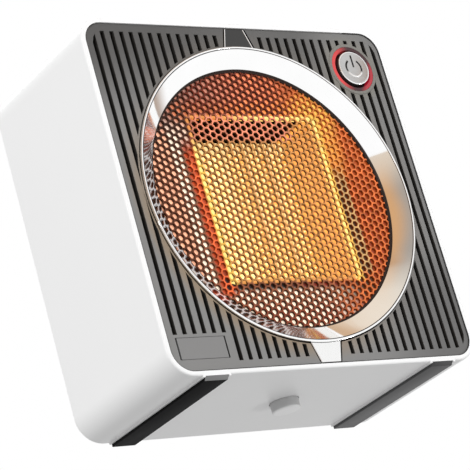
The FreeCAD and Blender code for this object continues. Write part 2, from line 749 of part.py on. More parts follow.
def chassis_frame():
    depths = (CHASSIS_FRONT, CHASSIS_BACK)
    posts = [rod(f"post_{index}", "post_radius", CHASSIS_BACK, BOARD_FRONT, x, z)
             for index, (x, z) in enumerate(board_posts())]
    holes = [rod("guard_seat", f"{MESH_RADIUS} + mesh_gap", CHASSIS_FRONT, REFLECTOR_BACK),
             rod("air_hole", f"{MESH_RADIUS} - chassis_ledge", REFLECTOR_BACK, CHASSIS_BACK),
             rod("button_room", "light_ring_outer + collar_gap", *depths, BUTTON_X, BUTTON_Z)]
    holes += pilots("chassis_hole", four_corners(BOSS_X, BOSS_Z), *depths, "screw_radius")
    holes += pilots("duct_hole", duct_screw_places(), f"({CHASSIS_BACK} - small_screw_length / 2)",
                    CHASSIS_BACK)
    holes += pilots("post_hole", board_posts(), f"({BOARD_FRONT} - small_screw_length)", BOARD_FRONT)
    plate = rounded_plate("chassis_plate", PANEL_WIDTH, PANEL_HEIGHT, PANEL_CORNER, *depths)
    return cut("chassis_frame", fuse("chassis_blank", plate, *posts), *holes)


# Heater: square duct, element and its safety devices

def duct_screw_places():
    return four_corners(f"{DUCT_SCREW_RADIUS} * cos(45)", f"{DUCT_SCREW_RADIUS} * sin(45)")


def shroud_screw_places():
    border = "(duct_wall + duct_rear_border / 2)"
    return four_corners(f"({DUCT_WIDTH} / 2 + {border})", f"({DUCT_HEIGHT} / 2 + {border})")


def terminal_places():
    return ["-blade_spacing / 2", "blade_spacing / 2"]


def heater_duct():
    flange_back = f"({CHASSIS_BACK} + duct_flange)"
    rear_front = f"({DUCT_BACK} - duct_rear_flange)"
    blank = fuse(
        "duct_blank",
        block("duct_tube", DUCT_OUTER_WIDTH, DUCT_OUTER_HEIGHT, REFLECTOR_BACK, DUCT_BACK),
        rod("duct_front_flange", DUCT_FLANGE_RADIUS, CHASSIS_BACK, flange_back),
        block("duct_rear_plate", DUCT_REAR_WIDTH, DUCT_REAR_HEIGHT, rear_front, DUCT_BACK))
    holes = [block("duct_way", DUCT_WIDTH, DUCT_HEIGHT, REFLECTOR_BACK, DUCT_BACK)]
    holes += pilots("flange_hole", duct_screw_places(), CHASSIS_BACK, flange_back)
    holes += pilots("rear_hole", shroud_screw_places(), rear_front, DUCT_BACK)
    middle = f"({ELEMENT_BACK} - element_thickness / 2)"
    half_slot = "(blade_sheet / 2 + part_gap)"
    for index, x in enumerate(terminal_places()):
        holes.append(block(f"blade_slot_{index}", "(blade_width + 2 * part_gap)", "(2 * duct_wall)",
                           f"({middle} - {half_slot})", f"({middle} + {half_slot})", x,
                           f"(-{DUCT_OUTER_HEIGHT} / 2)"))
    return cut("heater_duct", blank, *holes)


def element_pieces():
    depths = (ELEMENT_FRONT, ELEMENT_BACK)
    rise = f"(({ELEMENT_HEIGHT} - end_bar_height) / 2)"
    ends = [block(f"end_bar_{side}", ELEMENT_WIDTH, "end_bar_height", *depths, "0", f"{side} * {rise}")
            for side in (1, -1)]
    step = f"({FIN_WIDTH} + ceramic_width)"
    bars = [block(f"ceramic_{index}", "ceramic_width", FIN_HEIGHT, *depths,
                  f"{index - (CERAMIC_COUNT - 1) / 2} * {step}") for index in range(CERAMIC_COUNT)]
    middle = f"({ELEMENT_BACK} - element_thickness / 2)"
    blades = [block(f"blade_{index}", "blade_width", "blade_length", f"({middle} - blade_sheet / 2)",
                    f"({middle} + blade_sheet / 2)", x, f"(-({ELEMENT_HEIGHT} + blade_length) / 2)")
              for index, x in enumerate(terminal_places())]
    return [group("ptc_end_bars", *ends), group("ptc_ceramic_bars", *bars), group("ptc_terminals", *blades)]


def ptc_fins():
    rise = number("fin_pitch") / 2
    side = number(FIN_WIDTH) / 2 - number("fin_gap")
    slip = number("fin_sheet") / 2 / math.sin(math.atan2(rise, 2 * side))
    height = number(FIN_HEIGHT) - 2 * number("fin_gap")
    folds = round(height / rise)
    strips = []
    for column in range(CERAMIC_COUNT + 1):
        middle = (column - CERAMIC_COUNT / 2) * (number(FIN_WIDTH) + number("ceramic_width"))
        folded = [(middle + (side - slip) * (1 if fold % 2 else -1), height * (fold / folds - 0.5))
                  for fold in range(folds + 1)]
        right = [FreeCAD.Vector(x + slip, 0, z) for x, z in folded]
        left = [FreeCAD.Vector(x - slip, 0, z) for x, z in reversed(folded)]
        face = Part.Face(Part.makePolygon(right + left + right[:1]))
        strips.append(face.extrude(FreeCAD.Vector(0, number("element_thickness"), 0)))
    return solid_from("ptc_fins", Part.makeCompound(strips), "0", f"{FRONT} + {ELEMENT_FRONT}", MIDDLE)


def safety_devices():
    top = f"({MIDDLE} + {DUCT_OUTER_HEIGHT} / 2)"
    can_top = f"({top} + cutout_height)"
    at = ("0", f"({FRONT} + cutout_depth)")
    can = post("cutout_can", "cutout_radius", top, can_top, *at)
    stub = post("cutout_stub", "cutout_stub_radius", can_top, f"({can_top} + cutout_stub_height)", *at)
    side = f"(-{DUCT_OUTER_WIDTH} / 2 - fuse_radius - part_gap)"
    fuse_back = "(fuse_depth + fuse_length)"
    capsule = rod("fuse_capsule", "fuse_radius", "fuse_depth", fuse_back, side)
    leads = rod("fuse_leads", "fuse_lead_radius", "(fuse_depth - fuse_lead)",
                f"({fuse_back} + fuse_lead)", side)
    return [fuse("thermal_cutout", can, stub), fuse("thermal_fuse", capsule, leads)]


# Fan: shroud, impeller on its shaft, bush, motor and bracket

def bracket_screw_places():
    ring = f"(({SHROUD_RADIUS} + shroud_wall / 2) * cos(45))"
    return four_corners(ring, ring)


def motor_screw_places():
    return [("-motor_screw_spacing / 2", "0"), ("motor_screw_spacing / 2", "0")]


def fan_shroud():
    blank = fuse("shroud_blank",
                 block("shroud_face", DUCT_REAR_WIDTH, DUCT_REAR_HEIGHT, DUCT_BACK, SHROUD_PLATE_BACK),
                 rod("shroud_ring", SHROUD_OUTER, DUCT_BACK, SHROUD_BACK))
    holes = [rod("shroud_way", SHROUD_RADIUS, DUCT_BACK, SHROUD_BACK)]
    holes += pilots("shroud_hole", shroud_screw_places(), DUCT_BACK, SHROUD_PLATE_BACK)
    holes += pilots("ring_screw_hole", bracket_screw_places(), f"({SHROUD_BACK} - small_screw_length)",
                    SHROUD_BACK)
    return cut("fan_shroud", blank, *holes)


def blade_section(chord, pitch):
    """Corners of one blade section: across is depth, up is along the turn."""
    run, lift = f"({chord} / 2 * sin({pitch}))", f"({chord} / 2 * cos({pitch}))"
    skin, slip = f"(fan_blade_sheet / 2 * cos({pitch}))", f"(fan_blade_sheet / 2 * sin({pitch}))"
    middle = "fan_depth / 2"
    return [(f"{middle} + {run} + {skin}", f"{lift} - {slip}"),
            (f"{middle} + {run} - {skin}", f"{lift} + {slip}"),
            (f"{middle} - {run} - {skin}", f"{slip} - {lift}"),
            (f"{middle} - {run} + {skin}", f"-{lift} - {slip}")]


def fan_impeller():
    body = doc.addObject("PartDesign::Body", "impeller_body")
    hub_sketch = new_sketch(body, "XZ_Plane", "hub_outline")
    hub_sketch.addGeometry(Part.Circle(FreeCAD.Vector(), FreeCAD.Vector(0, 0, 1), number("fan_hub_radius")))
    hub_sketch.addConstraint(Sketcher.Constraint("Coincident", 0, 3, -1, 1))
    hub_sketch.addConstraint(Sketcher.Constraint("Radius", 0, number("fan_hub_radius")))
    hub_sketch.renameConstraint(1, "hub_radius")
    hub_sketch.setExpression("Constraints.hub_radius", formula("fan_hub_radius"))
    pad(body, hub_sketch, "hub_pad", "fan_depth")
    sections = []
    for name, radius, chord, pitch in (
            ("root", "fan_root_radius", "fan_root_chord", "fan_root_pitch"),
            ("tip", FAN_TIP_RADIUS, "fan_tip_chord", "fan_tip_pitch")):
        sketch = new_sketch(body, "YZ_Plane", f"blade_{name}")
        draw_outline(sketch, blade_section(chord, pitch))
        sketch.setExpression("AttachmentOffset.Base.z", formula(radius))
        sections.append(sketch)
    blade = body.newObject("PartDesign::AdditiveLoft", "fan_blade")
    blade.Profile = sections[0]
    blade.Sections = [sections[1]]
    blade.Ruled = True
    doc.recompute()
    turn = body.newObject("PartDesign::PolarPattern", "fan_blades")
    turn.Originals = [blade]
    turn.Axis = ([item for item in body.Origin.OriginFeatures if item.Role == "Y_Axis"][0], [""])
    turn.Angle = 360
    turn.Occurrences = BLADE_COUNT
    body.Tip = turn
    place(body, "0", f"{FRONT} + {FAN_FRONT}", MIDDLE)
    bore = rod("impeller_bore", "shaft_radius + fit_gap", f"({FAN_FRONT} + shaft_cover)", FAN_BACK)
    return cut("fan_impeller", body, bore)


def motor_pieces():
    depths = (SHROUD_BACK, BRACKET_BACK)
    bush_front = f"({SHROUD_BACK} - bush_nose)"
    shaft_back = f"({BRACKET_BACK} + shaft_tail)"
    shaft_way = rod("shaft_way", "shaft_radius + running_gap", bush_front, f"({shaft_back} + part_gap)")
    shaft = rod("motor_shaft", "shaft_radius", f"({FAN_FRONT} + shaft_cover + fit_gap)", shaft_back)
    bush = cut("motor_bush", rod("bush_blank", "bush_radius", bush_front, BRACKET_BACK), shaft_way)
    arm_length = f"(2 * {SHROUD_RADIUS} + shroud_wall)"
    bracket_blank = fuse(
        "bracket_blank",
        rod("bracket_hub", "bracket_hub_radius", *depths),
        cut("bracket_rim", rod("bracket_rim_disc", SHROUD_OUTER, *depths),
            rod("bracket_rim_way", SHROUD_RADIUS, *depths)),
        block("bracket_arm_across", arm_length, "bracket_arm", *depths),
        block("bracket_arm_up", "bracket_arm", arm_length, *depths))
    bracket = cut("motor_bracket", bracket_blank, rod("bush_seat", "bush_radius + fit_gap", *depths),
                  *pilots("bracket_motor_hole", motor_screw_places(), *depths),
                  *pilots("bracket_rim_hole", bracket_screw_places(), *depths))
    motor = cut("motor_body", rod("motor_can", "motor_radius", BRACKET_BACK, MOTOR_BACK), shaft_way,
                *pilots("motor_hole", motor_screw_places(), BRACKET_BACK,
                        f"({BRACKET_BACK} + small_screw_length)"))
    return [shaft, bush, bracket, motor]


# Back: cover with intake slots, and the cord gland

def rear_cover():
    depths = (COVER_FRONT, "shell_depth")
    corners = four_corners(BOSS_X, BOSS_Z)
    gland = (GLAND_X, GLAND_Z)
    plate = rounded_plate("cover_plate", PANEL_WIDTH, PANEL_HEIGHT, PANEL_CORNER, *depths)
    field = cut("intake_field", rod("intake_disc", "intake_radius", *depths),
                block("intake_middle", "(2 * intake_radius)", "intake_bar", *depths))
    slots = common("intake_slots", slot_bars("intake", "intake_slot", *depths, 0), field)
    seats = [rod(f"cover_seat_{index}", "screw_head_radius + part_gap", "(shell_depth - screw_head)",
                 "shell_depth", x, z) for index, (x, z) in enumerate(corners)]
    return cut("rear_cover", plate, slots, *seats, *pilots("cover_hole", corners, *depths, "screw_radius"),
               rod("gland_hole", "gland_sleeve + gland_gap", *depths, *gland),
               rod("gland_seat", "gland_flange + gland_gap", "(shell_depth - gland_lip)", "shell_depth",
                   *gland))


def cord_gland():
    at = (GLAND_X, GLAND_Z)
    tail = f"({COVER_FRONT} - gland_tail)"
    blank = fuse("gland_blank", rod("gland_tube", "gland_sleeve", tail, "shell_depth", *at),
                 rod("gland_lip_disc", "gland_flange", "(shell_depth - gland_lip)", "shell_depth", *at))
    return cut("cord_gland", blank, rod("gland_way", "gland_bore", tail, "shell_depth", *at))


# Power button: cap, light ring, guide, spring, and the switch on the control board

def power_button():
    at = (BUTTON_X, BUTTON_Z)
    disc = turned("button_disc", "XY_Plane", "V_Axis", [
        ("0", "0"), ("button_radius", "0"), ("button_radius", "button_height"), ("0", "button_height")])
    place(disc, BUTTON_X, f"{FRONT} + {CAP_FRONT}", f"{MIDDLE} + {BUTTON_Z}")
    round_edges(disc, "button_edge", "button_round", lambda edge: lies_at(edge, "Y", 0))
    cap = fuse("power_button_cap", disc, rod("button_stem", "button_stem_radius", CAP_BACK, STEM_BACK, *at))
    light = cut("button_light_ring", rod("light_disc", "light_ring_outer", LIGHT_FRONT, LIGHT_BACK, *at),
                rod("light_way", "light_ring_inner", LIGHT_FRONT, LIGHT_BACK, *at))
    guide = cut("button_guide", rod("guide_cup", "light_ring_outer", LIGHT_BACK, GUIDE_BACK, *at),
                rod("guide_way", "button_radius + button_gap", LIGHT_BACK, GUIDE_FLOOR, *at),
                rod("guide_stem_way", "button_stem_radius + button_gap", GUIDE_FLOOR, GUIDE_BACK, *at))
    length = number(f"{GUIDE_FLOOR} - {CAP_BACK}")
    shape = coil(number("button_coil_radius"), number("button_wire"), length, number("button_coils"))
    spring = solid_from("button_spring", shape.rotated(FreeCAD.Vector(), FreeCAD.Vector(1, 0, 0), -90),
                        BUTTON_X, f"{FRONT} + {CAP_BACK}", f"{MIDDLE} + {BUTTON_Z}")
    switch = fuse("button_switch", rod("switch_nub_rod", "switch_nub_radius", NUB_FRONT, SWITCH_FRONT, *at),
                  block("switch_case", "switch_width", "switch_width", SWITCH_FRONT, BOARD_FRONT, *at))
    return [cap, light, guide, spring, switch]


def control_board():
    plate = block("board_plate", "board_width", "board_height", BOARD_FRONT, BOARD_BACK, BOARD_X, BOARD_Z)
    relay = block("control_relay", "relay_width", "relay_height", BOARD_BACK, f"({BOARD_BACK} + relay_depth)",
                  BOARD_X, f"({BOARD_Z} + relay_rise)")
    terminals = block("board_terminals", "terminal_width", "terminal_height", BOARD_BACK,
                      f"({BOARD_BACK} + terminal_depth)", f"({BOARD_X} - terminal_width / 2)",
                      f"({BOARD_Z} - board_height / 2 + terminal_height)")
    board = cut("control_board", plate, *pilots("board_hole", board_posts(), BOARD_FRONT, BOARD_BACK))
    return [board, relay, terminals]


# Tip-over plunger under the shell, its guide and spring, and the lever switch above it

def tip_plunger():
    body = turned("plunger_body", "XZ_Plane", "V_Axis", [
        ("0", PLUNGER_TIP), ("plunger_radius", PLUNGER_TIP), ("plunger_radius", FLANGE_LOW),
        ("plunger_flange_radius", FLANGE_LOW), ("plunger_flange_radius", FLANGE_HIGH),
        ("stem_radius", FLANGE_HIGH), ("stem_radius", DOME_Z), ("0", DOME_Z)])
    tip = number(PLUNGER_TIP)
    round_edges(body, "plunger_edge", "plunger_round", lambda edge: lies_at(edge, "Z", tip))
    dome = doc.addObject("Part::Sphere", "plunger_dome")
    bind(dome, Radius="stem_radius")
    place(dome, "0", "0", DOME_Z)
    return fuse("tip_plunger", body, dome)


def tip_switch_places():
    spread = "tip_switch_length / 4"
    return [(f"({TIP_SWITCH_X} {side} {spread})", TIP_SWITCH_RISE) for side in "-+"]


def plunger_guide():
    upright = ("(tip_switch_length - 2 * tip_switch_tail)", "upright_sheet", GUIDE_TOP, TIP_SWITCH_HIGH)
    blank = fuse("guide_blank", post("guide_tube", f"{GUIDE_BORE} + guide_wall", FLOOR, GUIDE_TOP),
                 post("guide_base", "guide_foot_radius", FLOOR, f"({FLOOR} + guide_foot)"),
                 slab("guide_upright", *upright, TIP_SWITCH_X, "(tip_switch_width / 2 + upright_sheet / 2)"))
    screw_end = f"({TIP_SWITCH_BACK} + upright_sheet)"
    return cut("plunger_guide", blank, post("guide_way", GUIDE_BORE, FLOOR, GUIDE_CEILING),
               post("guide_stem_hole", "stem_radius + plunger_gap", FLOOR, GUIDE_TOP),
               *pilots("upright_hole", tip_switch_places(), TIP_SWITCH_BACK, screw_end))


def plunger_spring():
    length = number(f"{GUIDE_CEILING} - {FLANGE_HIGH}")
    shape = coil(number("plunger_coil_radius"), number("plunger_wire"), length, number("plunger_coils"))
    return solid_from("plunger_spring", shape, "0", "0", FLANGE_HIGH)


def tip_switch():
    depths = (TIP_SWITCH_FRONT, TIP_SWITCH_BACK)
    case = slab("tip_switch_case", "tip_switch_length", "tip_switch_width", TIP_SWITCH_LOW, TIP_SWITCH_HIGH,
                TIP_SWITCH_X)
    nub = post("tip_switch_nub", "lever_barrel", f"({TIP_SWITCH_LOW} - tip_switch_button)", TIP_SWITCH_LOW,
               "tip_switch_button_arm - lever_arm")
    ears = [slab(f"ear_{side}", "ear_width", "ear_sheet", f"({PIVOT_Z} - 2 * lever_pin)", TIP_SWITCH_LOW,
                 "-lever_arm", f"{side} * (tip_switch_width - ear_sheet) / 2") for side in (1, -1)]
    return cut("tip_switch", fuse("tip_switch_blank", case, nub, *ears),
               rod("pin_way", "lever_pin + running_gap", *depths, "-lever_arm", f"({PIVOT_Z} - {MIDDLE})"),
               *pilots("switch_hole", tip_switch_places(), *depths))


def tip_switch_lever():
    strip = doc.addObject("Part::Box", "lever_strip")
    bind(strip, Length="lever_arm + lever_tail", Width="lever_width", Height="lever_sheet")
    place(strip, "0", "-lever_width / 2", "-lever_sheet / 2")
    rounds = []
    for name, radius, length in (("lever_tube", "lever_barrel", "lever_width"),
                                 ("lever_axle", "lever_pin", "(tip_switch_width - 2 * part_gap)")):
        cylinder = doc.addObject("Part::Cylinder", name)
        cylinder.Placement = FreeCAD.Placement(FreeCAD.Vector(), ALONG_Y)
        bind(cylinder, Radius=radius, Height=length)
        place(cylinder, "0", f"-{length} / 2", "0")
        rounds.append(cylinder)
    lever = fuse("tip_switch_lever", strip, *rounds)
    drop = f"({LEVER_REACH} + plunger_travel)"
    lever.Placement = FreeCAD.Placement(FreeCAD.Vector(), FreeCAD.Rotation(FreeCAD.Vector(0, 1, 0), 1))
    place(lever, "-lever_arm", "0", PIVOT_Z)
    tilt = f"acos({LEVER_REACH} / sqrt({drop} ^ 2 + lever_arm ^ 2)) - atan(lever_arm / {drop})"
    bind(lever, **{"Placement.Rotation.Angle": tilt})
    print("lever tilt, radians", math.radians(number(tilt)))
    return lever


# Screws, grouped by where they go

def rear_screws():
    screws = []
    head = ("(shell_depth - screw_head)", "shell_depth")
    for index, (x, z) in enumerate(four_corners(BOSS_X, BOSS_Z)):
        plain = screw(f"rear_screw_plain_{index}", x, z, head,
                      (f"({COVER_FRONT} - screw_length + part_gap)", "(shell_depth - screw_head)"),
                      ("screw_head_radius", "screw_radius"))
        deep = ("(shell_depth - screw_head / 2)", "shell_depth")
        cross = [block(f"recess_across_{index}", "recess_length", "recess_width", *deep, x, z),
                 block(f"recess_up_{index}", "recess_width", "recess_length", *deep, x, z)]
        screws.append(cut(f"rear_screw_{index}", plain, *cross))
    return group("rear_screws", *screws)


def chassis_screws():
    return group("chassis_screws", *[
        screw(f"chassis_screw_{index}", x, z, (f"({CHASSIS_FRONT} - screw_head)", CHASSIS_FRONT),
              (CHASSIS_FRONT, f"({CHASSIS_BACK} + screw_length - part_gap)"),
              ("screw_head_radius", "screw_radius"))
        for index, (x, z) in enumerate(four_corners(BOSS_X, BOSS_Z))])


def small_screws(name, places, face, length, forward):
    """Small screws with their heads on a face, pointing back, or forward if asked."""
    head, shank = (f"({face} - small_screw_head)", face), (face, f"({face} + {length})")
    if forward:
        head, shank = (face, f"({face} + small_screw_head)"), (f"({face} - {length})", face)
    radii = ("small_screw_head_radius", "small_screw_radius")
    return group(name, *[screw(f"{name}_{index}", x, z, head, shank, radii)
                         for index, (x, z) in enumerate(places)])


def all_small_screws():
    flange_back = f"({CHASSIS_BACK} + duct_flange)"
    return [
        small_screws("duct_screws", duct_screw_places(), flange_back,
                     "(duct_flange + small_screw_length / 2 - part_gap)", True),
        small_screws("shroud_screws", shroud_screw_places(), SHROUD_PLATE_BACK,
                     "(shroud_plate + duct_rear_flange - part_gap)", True),
        small_screws("bracket_screws", bracket_screw_places(), BRACKET_BACK,
                     "(bracket_thickness + small_screw_length - part_gap)", True),
        small_screws("motor_screws", motor_screw_places(), SHROUD_BACK,
                     "(bracket_thickness + small_screw_length - part_gap)", False),
        small_screws("board_screws", board_posts(), BOARD_BACK,
                     "(board_thickness + small_screw_length - part_gap)", True),
        small_screws("tip_switch_screws", tip_switch_places(), TIP_SWITCH_FRONT,
                     "(tip_switch_width + upright_sheet - part_gap)", False),
    ]


sub_parts = [
    housing_shell(), *feet(), front_panel(), blank_badge(), chrome_ring(), *trims(), mesh_guard(),
    reflector_plate(), chassis_frame(), heater_duct(), *element_pieces(), ptc_fins(), *safety_devices(),
    fan_shroud(), fan_impeller(), *motor_pieces(), rear_cover(), cord_gland(), *power_button(),
    *control_board(), tip_plunger(), plunger_guide(), plunger_spring(), tip_switch(), tip_switch_lever(),
    rear_screws(), chassis_screws(), *all_small_screws(),
]
doc.recompute()

# Nothing is written unless every object was made and every sub-part is whole
for item in doc.Objects:
    if any(word in ("Invalid", "Error") for word in item.State):
        raise RuntimeError(f"{item.Label} failed: {item.State}")
for item in sub_parts:
    if item.Shape.isNull() or not item.Shape.isValid() or not item.Shape.Solids:
        raise RuntimeError(f"{item.Label} has no valid solid")

os.makedirs("parts", exist_ok=True)
for item in sub_parts:
    item.Shape.exportStep(f"parts/{item.Label}.step")
    print(item.Label, len(item.Shape.Solids), round(item.Shape.Volume, 1))
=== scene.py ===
# %% [markdown]
# # A small cube fan heater
# The heater is a white rounded sleeve with a slotted grey front. A dished chrome ring frames a
# fine hexagonal guard, and behind the guard an element glows at the back of a square metal duct.
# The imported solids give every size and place. This lesson dresses them: it looks closely at what
# each surface is made of, and rebuilds a piece only where a finer shape catches the light better.

# %% Load the fixed frame
import json
import math

import bmesh
import bpy
from mathutils import Matrix, Vector


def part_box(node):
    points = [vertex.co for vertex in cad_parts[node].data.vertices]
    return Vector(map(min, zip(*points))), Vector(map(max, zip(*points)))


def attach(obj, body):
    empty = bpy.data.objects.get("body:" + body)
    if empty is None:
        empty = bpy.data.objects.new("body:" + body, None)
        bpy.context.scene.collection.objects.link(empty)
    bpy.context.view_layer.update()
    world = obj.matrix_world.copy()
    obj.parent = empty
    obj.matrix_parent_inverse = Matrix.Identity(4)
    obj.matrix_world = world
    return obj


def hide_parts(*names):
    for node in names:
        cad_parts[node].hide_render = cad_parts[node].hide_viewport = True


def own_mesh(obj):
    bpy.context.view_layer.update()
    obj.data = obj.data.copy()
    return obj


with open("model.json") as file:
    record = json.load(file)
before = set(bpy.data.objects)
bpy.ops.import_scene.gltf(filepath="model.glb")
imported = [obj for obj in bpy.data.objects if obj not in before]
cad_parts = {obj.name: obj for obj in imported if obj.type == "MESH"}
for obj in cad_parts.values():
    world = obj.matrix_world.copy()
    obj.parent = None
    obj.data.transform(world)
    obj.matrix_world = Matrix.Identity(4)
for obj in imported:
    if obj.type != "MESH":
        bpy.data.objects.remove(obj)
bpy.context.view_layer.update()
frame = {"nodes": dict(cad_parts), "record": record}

MM = 0.001
scene = bpy.context.scene

# %% [markdown]
# ## Sizes
# The front is laid out round a few places: the panel's middle, the ring, the button and the duct's
# mouth. Their sizes could be typed in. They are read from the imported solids, so that what is made
# here sits where the solids are.

# %% Sizes read from the frame
panel_low, panel_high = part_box("front_panel")
ring_low, ring_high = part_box("chrome_ring")
guard_low, guard_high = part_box("mesh_guard")
cap_low, cap_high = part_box("power_button_cap")
end_bars_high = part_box("ptc_end_bars")[1]
MOUTH_CLEARANCE = 0.2 * MM
MIDDLE = (panel_low.z + panel_high.z) / 2
PANEL_HALF = panel_high.x
PANEL_FACE = panel_low.y
RING_RADIUS = ring_high.x
GUARD_RADIUS = guard_high.x
BUTTON_X = (cap_low.x + cap_high.x) / 2
BUTTON_Z = (cap_low.z + cap_high.z) / 2
CAP_RADIUS = (cap_high.x - cap_low.x) / 2
MOUTH_HALF_WIDTH = end_bars_high.x + MOUTH_CLEARANCE
MOUTH_HALF_HEIGHT = end_bars_high.z - MIDDLE + MOUTH_CLEARANCE
print("panel half width, mm:", round(PANEL_HALF / MM, 2), "ring radius, mm:",
      round(RING_RADIUS / MM, 2))

# %% [markdown]
# ## Camera
# The picture looks up at the heater from the lower left, with the camera rolled, through a long
# lens. A camera can be placed by hand or by a track constraint. Here three angles and a distance
# say where it stands, because those are the numbers that a photographer would note.

# %% Camera
CAMERA_AIM = Vector((-15.52, -18.48, 67.47)) * MM
CAMERA_DISTANCE = 964.24 * MM
CAMERA_TURN = math.radians(38.895)
CAMERA_LOOK_UP = math.radians(19.259)
CAMERA_ROLL = math.radians(-16.024)
CAMERA_LENS = 182.9
SENSOR_WIDTH = 36

look = Vector((math.sin(CAMERA_TURN) * math.cos(CAMERA_LOOK_UP),
               math.cos(CAMERA_TURN) * math.cos(CAMERA_LOOK_UP), math.sin(CAMERA_LOOK_UP)))
level_right = look.cross(Vector((0, 0, 1))).normalized()
level_up = level_right.cross(look)
right = level_right * math.cos(CAMERA_ROLL) + level_up * math.sin(CAMERA_ROLL)
up = right.cross(look)
camera = bpy.data.objects.new("camera", bpy.data.cameras.new("camera"))
scene.collection.objects.link(camera)
camera.data.lens = CAMERA_LENS
camera.data.sensor_width = SENSOR_WIDTH
axes = Matrix((right, up, -look)).transposed().to_4x4()
camera.matrix_world = Matrix.Translation(CAMERA_AIM - look * CAMERA_DISTANCE) @ axes
scene.camera = camera
print("camera at", [round(value, 3) for value in camera.matrix_world.translation])

# %% [markdown]
# ## Nodes and sockets
# A material is a small graph of nodes, which could be wired by hand in the shader editor. In code
# it reads better with a helper that adds a node, sets its options and fills its sockets, with a
# value or with another node's output.

# %% Nodes and sockets
def fill_socket(tree, socket, value):
    """Give a socket a value, or link another node's output to it."""
    if isinstance(value, bpy.types.NodeSocket):
        tree.links.new(value, socket)
    else:
        socket.default_value = value


def add_node(tree, kind, inputs=None, **options):
    """Add a shader node; inputs maps sockets to values or to other nodes' outputs."""
    made = tree.nodes.new("ShaderNode" + kind)
    for option, value in options.items():
        setattr(made, option, value)
    for socket, value in (inputs or {}).items():
        fill_socket(tree, made.inputs[socket], value)
    return made


print("helpers:", fill_socket.__name__, add_node.__name__)

# %% [markdown]
# ## Places and shares
# Soot, glow and wear depend on where a point lies. Such a zone could be painted as a mask. Here it
# is worked out from the point's place in metres: a soft step gives a share from 0 to 1, and shares
# are multiplied where zones meet.

# %% Places and shares
def sums(tree, operation, first, second=0.0, third=0.0):
    """One step of arithmetic on values."""
    return add_node(tree, "Math", {0: first, 1: second, 2: third}, operation=operation).outputs[0]


def fade(tree, value, low, high):
    """Soft step from 0 at low to 1 at high."""
    step = add_node(tree, "MapRange", {"Value": value, "From Min": low, "From Max": high},
                    interpolation_type="SMOOTHSTEP")
    return step.outputs["Result"]


def fade_mm(tree, value, low, high):
    """Soft step whose two ends are given in millimetres."""
    return fade(tree, value, low * MM, high * MM)


def both(tree, first, second):
    """Share where two shares meet."""
    return sums(tree, "MULTIPLY", first, second)


def away(tree, across, rise, x=0.0, z=0.0):
    """Distance of a point on the front from the place (x, z)."""
    across = sums(tree, "SUBTRACT", across, x)
    rise = sums(tree, "SUBTRACT", rise, z)
    return sums(tree, "SQRT",
                sums(tree, "MULTIPLY_ADD", across, across, sums(tree, "MULTIPLY", rise, rise)))


def beyond(tree, axis, level):
    """How far a point lies beyond a level along one axis, in metres."""
    parts = add_node(tree, "SeparateXYZ", {0: add_node(tree, "TexCoord").outputs["Object"]})
    return sums(tree, "SUBTRACT", parts.outputs[axis], level)


print("helpers:", fade_mm.__name__, both.__name__, away.__name__, beyond.__name__)

# %% [markdown]
# ## Colours
# Paint goes on in coats, and each coat covers only its own zone. A colour ramp holds one such
# change. A mix of two colours by a share can be repeated, coat over coat, as often as a piece
# needs.

# %% Colours
MIX_COLOURS = (6, 7)
MIX_RESULT = 2


def blend_colours(tree, share, first, second):
    """Mix two colours by a share."""
    mixed = add_node(tree, "Mix", {"Factor": share}, data_type="RGBA")
    for index, colour in zip(MIX_COLOURS, (first, second)):
        colour = (*colour, 1) if isinstance(colour, tuple) else colour
        fill_socket(tree, mixed.inputs[index], colour)
    return mixed.outputs[MIX_RESULT]


def layers(tree, colour, *coats):
    """Lay coats over a first colour; each coat is a share and a colour."""
    for share, coat in coats:
        colour = blend_colours(tree, share, colour, coat)
    return colour


print("helper:", blend_colours.__name__)

# %% [markdown]
# ## Groups and finishes
# An effect that many materials share is a node group, built once and placed with its own values.
# Copying its nodes would also work, but then a change has to be made many times. The shader stays
# in the material, with plain values on its own sockets.

# %% Groups and finishes
def new_group(name, inputs, outputs):
    """Empty node group with named sockets, and its entry and exit nodes."""
    tree = bpy.data.node_groups.new(name, "ShaderNodeTree")
    for label, (kind, value) in inputs.items():
        socket = tree.interface.new_socket(label, in_out="INPUT", socket_type="NodeSocket" + kind)
        socket.default_value = value
    for label, kind in outputs.items():
        tree.interface.new_socket(label, in_out="OUTPUT", socket_type="NodeSocket" + kind)
    entry = tree.nodes.new("NodeGroupInput")
    leave = tree.nodes.new("NodeGroupOutput")
    return tree, entry, leave


def use_group(tree, group, **values):
    """Place a node group and give it its own values; an underscore stands for a space."""
    placed = tree.nodes.new("ShaderNodeGroup")
    placed.node_tree = group
    for label, value in values.items():
        fill_socket(tree, placed.inputs[label.replace("_", " ")], value)
    return placed


def new_finish(name, **settings):
    """Material with one Principled shader; settings are plain values of its sockets."""
    material = bpy.data.materials.new(name)
    material.use_nodes = True
    tree = material.node_tree
    tree.nodes.clear()
    shader = add_node(tree, "BsdfPrincipled")
    for label, value in settings.items():
        shader.inputs[label.replace("_", " ")].default_value = value
    add_node(tree, "OutputMaterial", {"Surface": shader.outputs[0]})
    return material, tree, shader


def feed(tree, shader, **sources):
    """Link node outputs to a shader's sockets."""
    for label, source in sources.items():
        tree.links.new(source, shader.inputs[label.replace("_", " ")])


def add_bump(tree, shader, height, depth):
    """Turn a height into small relief, depth metres high."""
    bump = add_node(tree, "Bump", {"Height": height, "Distance": depth})
    tree.links.new(bump.outputs[0], shader.inputs["Normal"])


print("helpers:", new_group.__name__, use_group.__name__, new_finish.__name__)

# %% [markdown]
# ## Moulded grain
# A mould is spark-eroded, so its plastic has a fine grain and a gloss that wanders a little. A
# picture of grain needs a file and an unwrapped mesh. Noise needs neither, and many pieces share
# it, so it becomes the first node group.

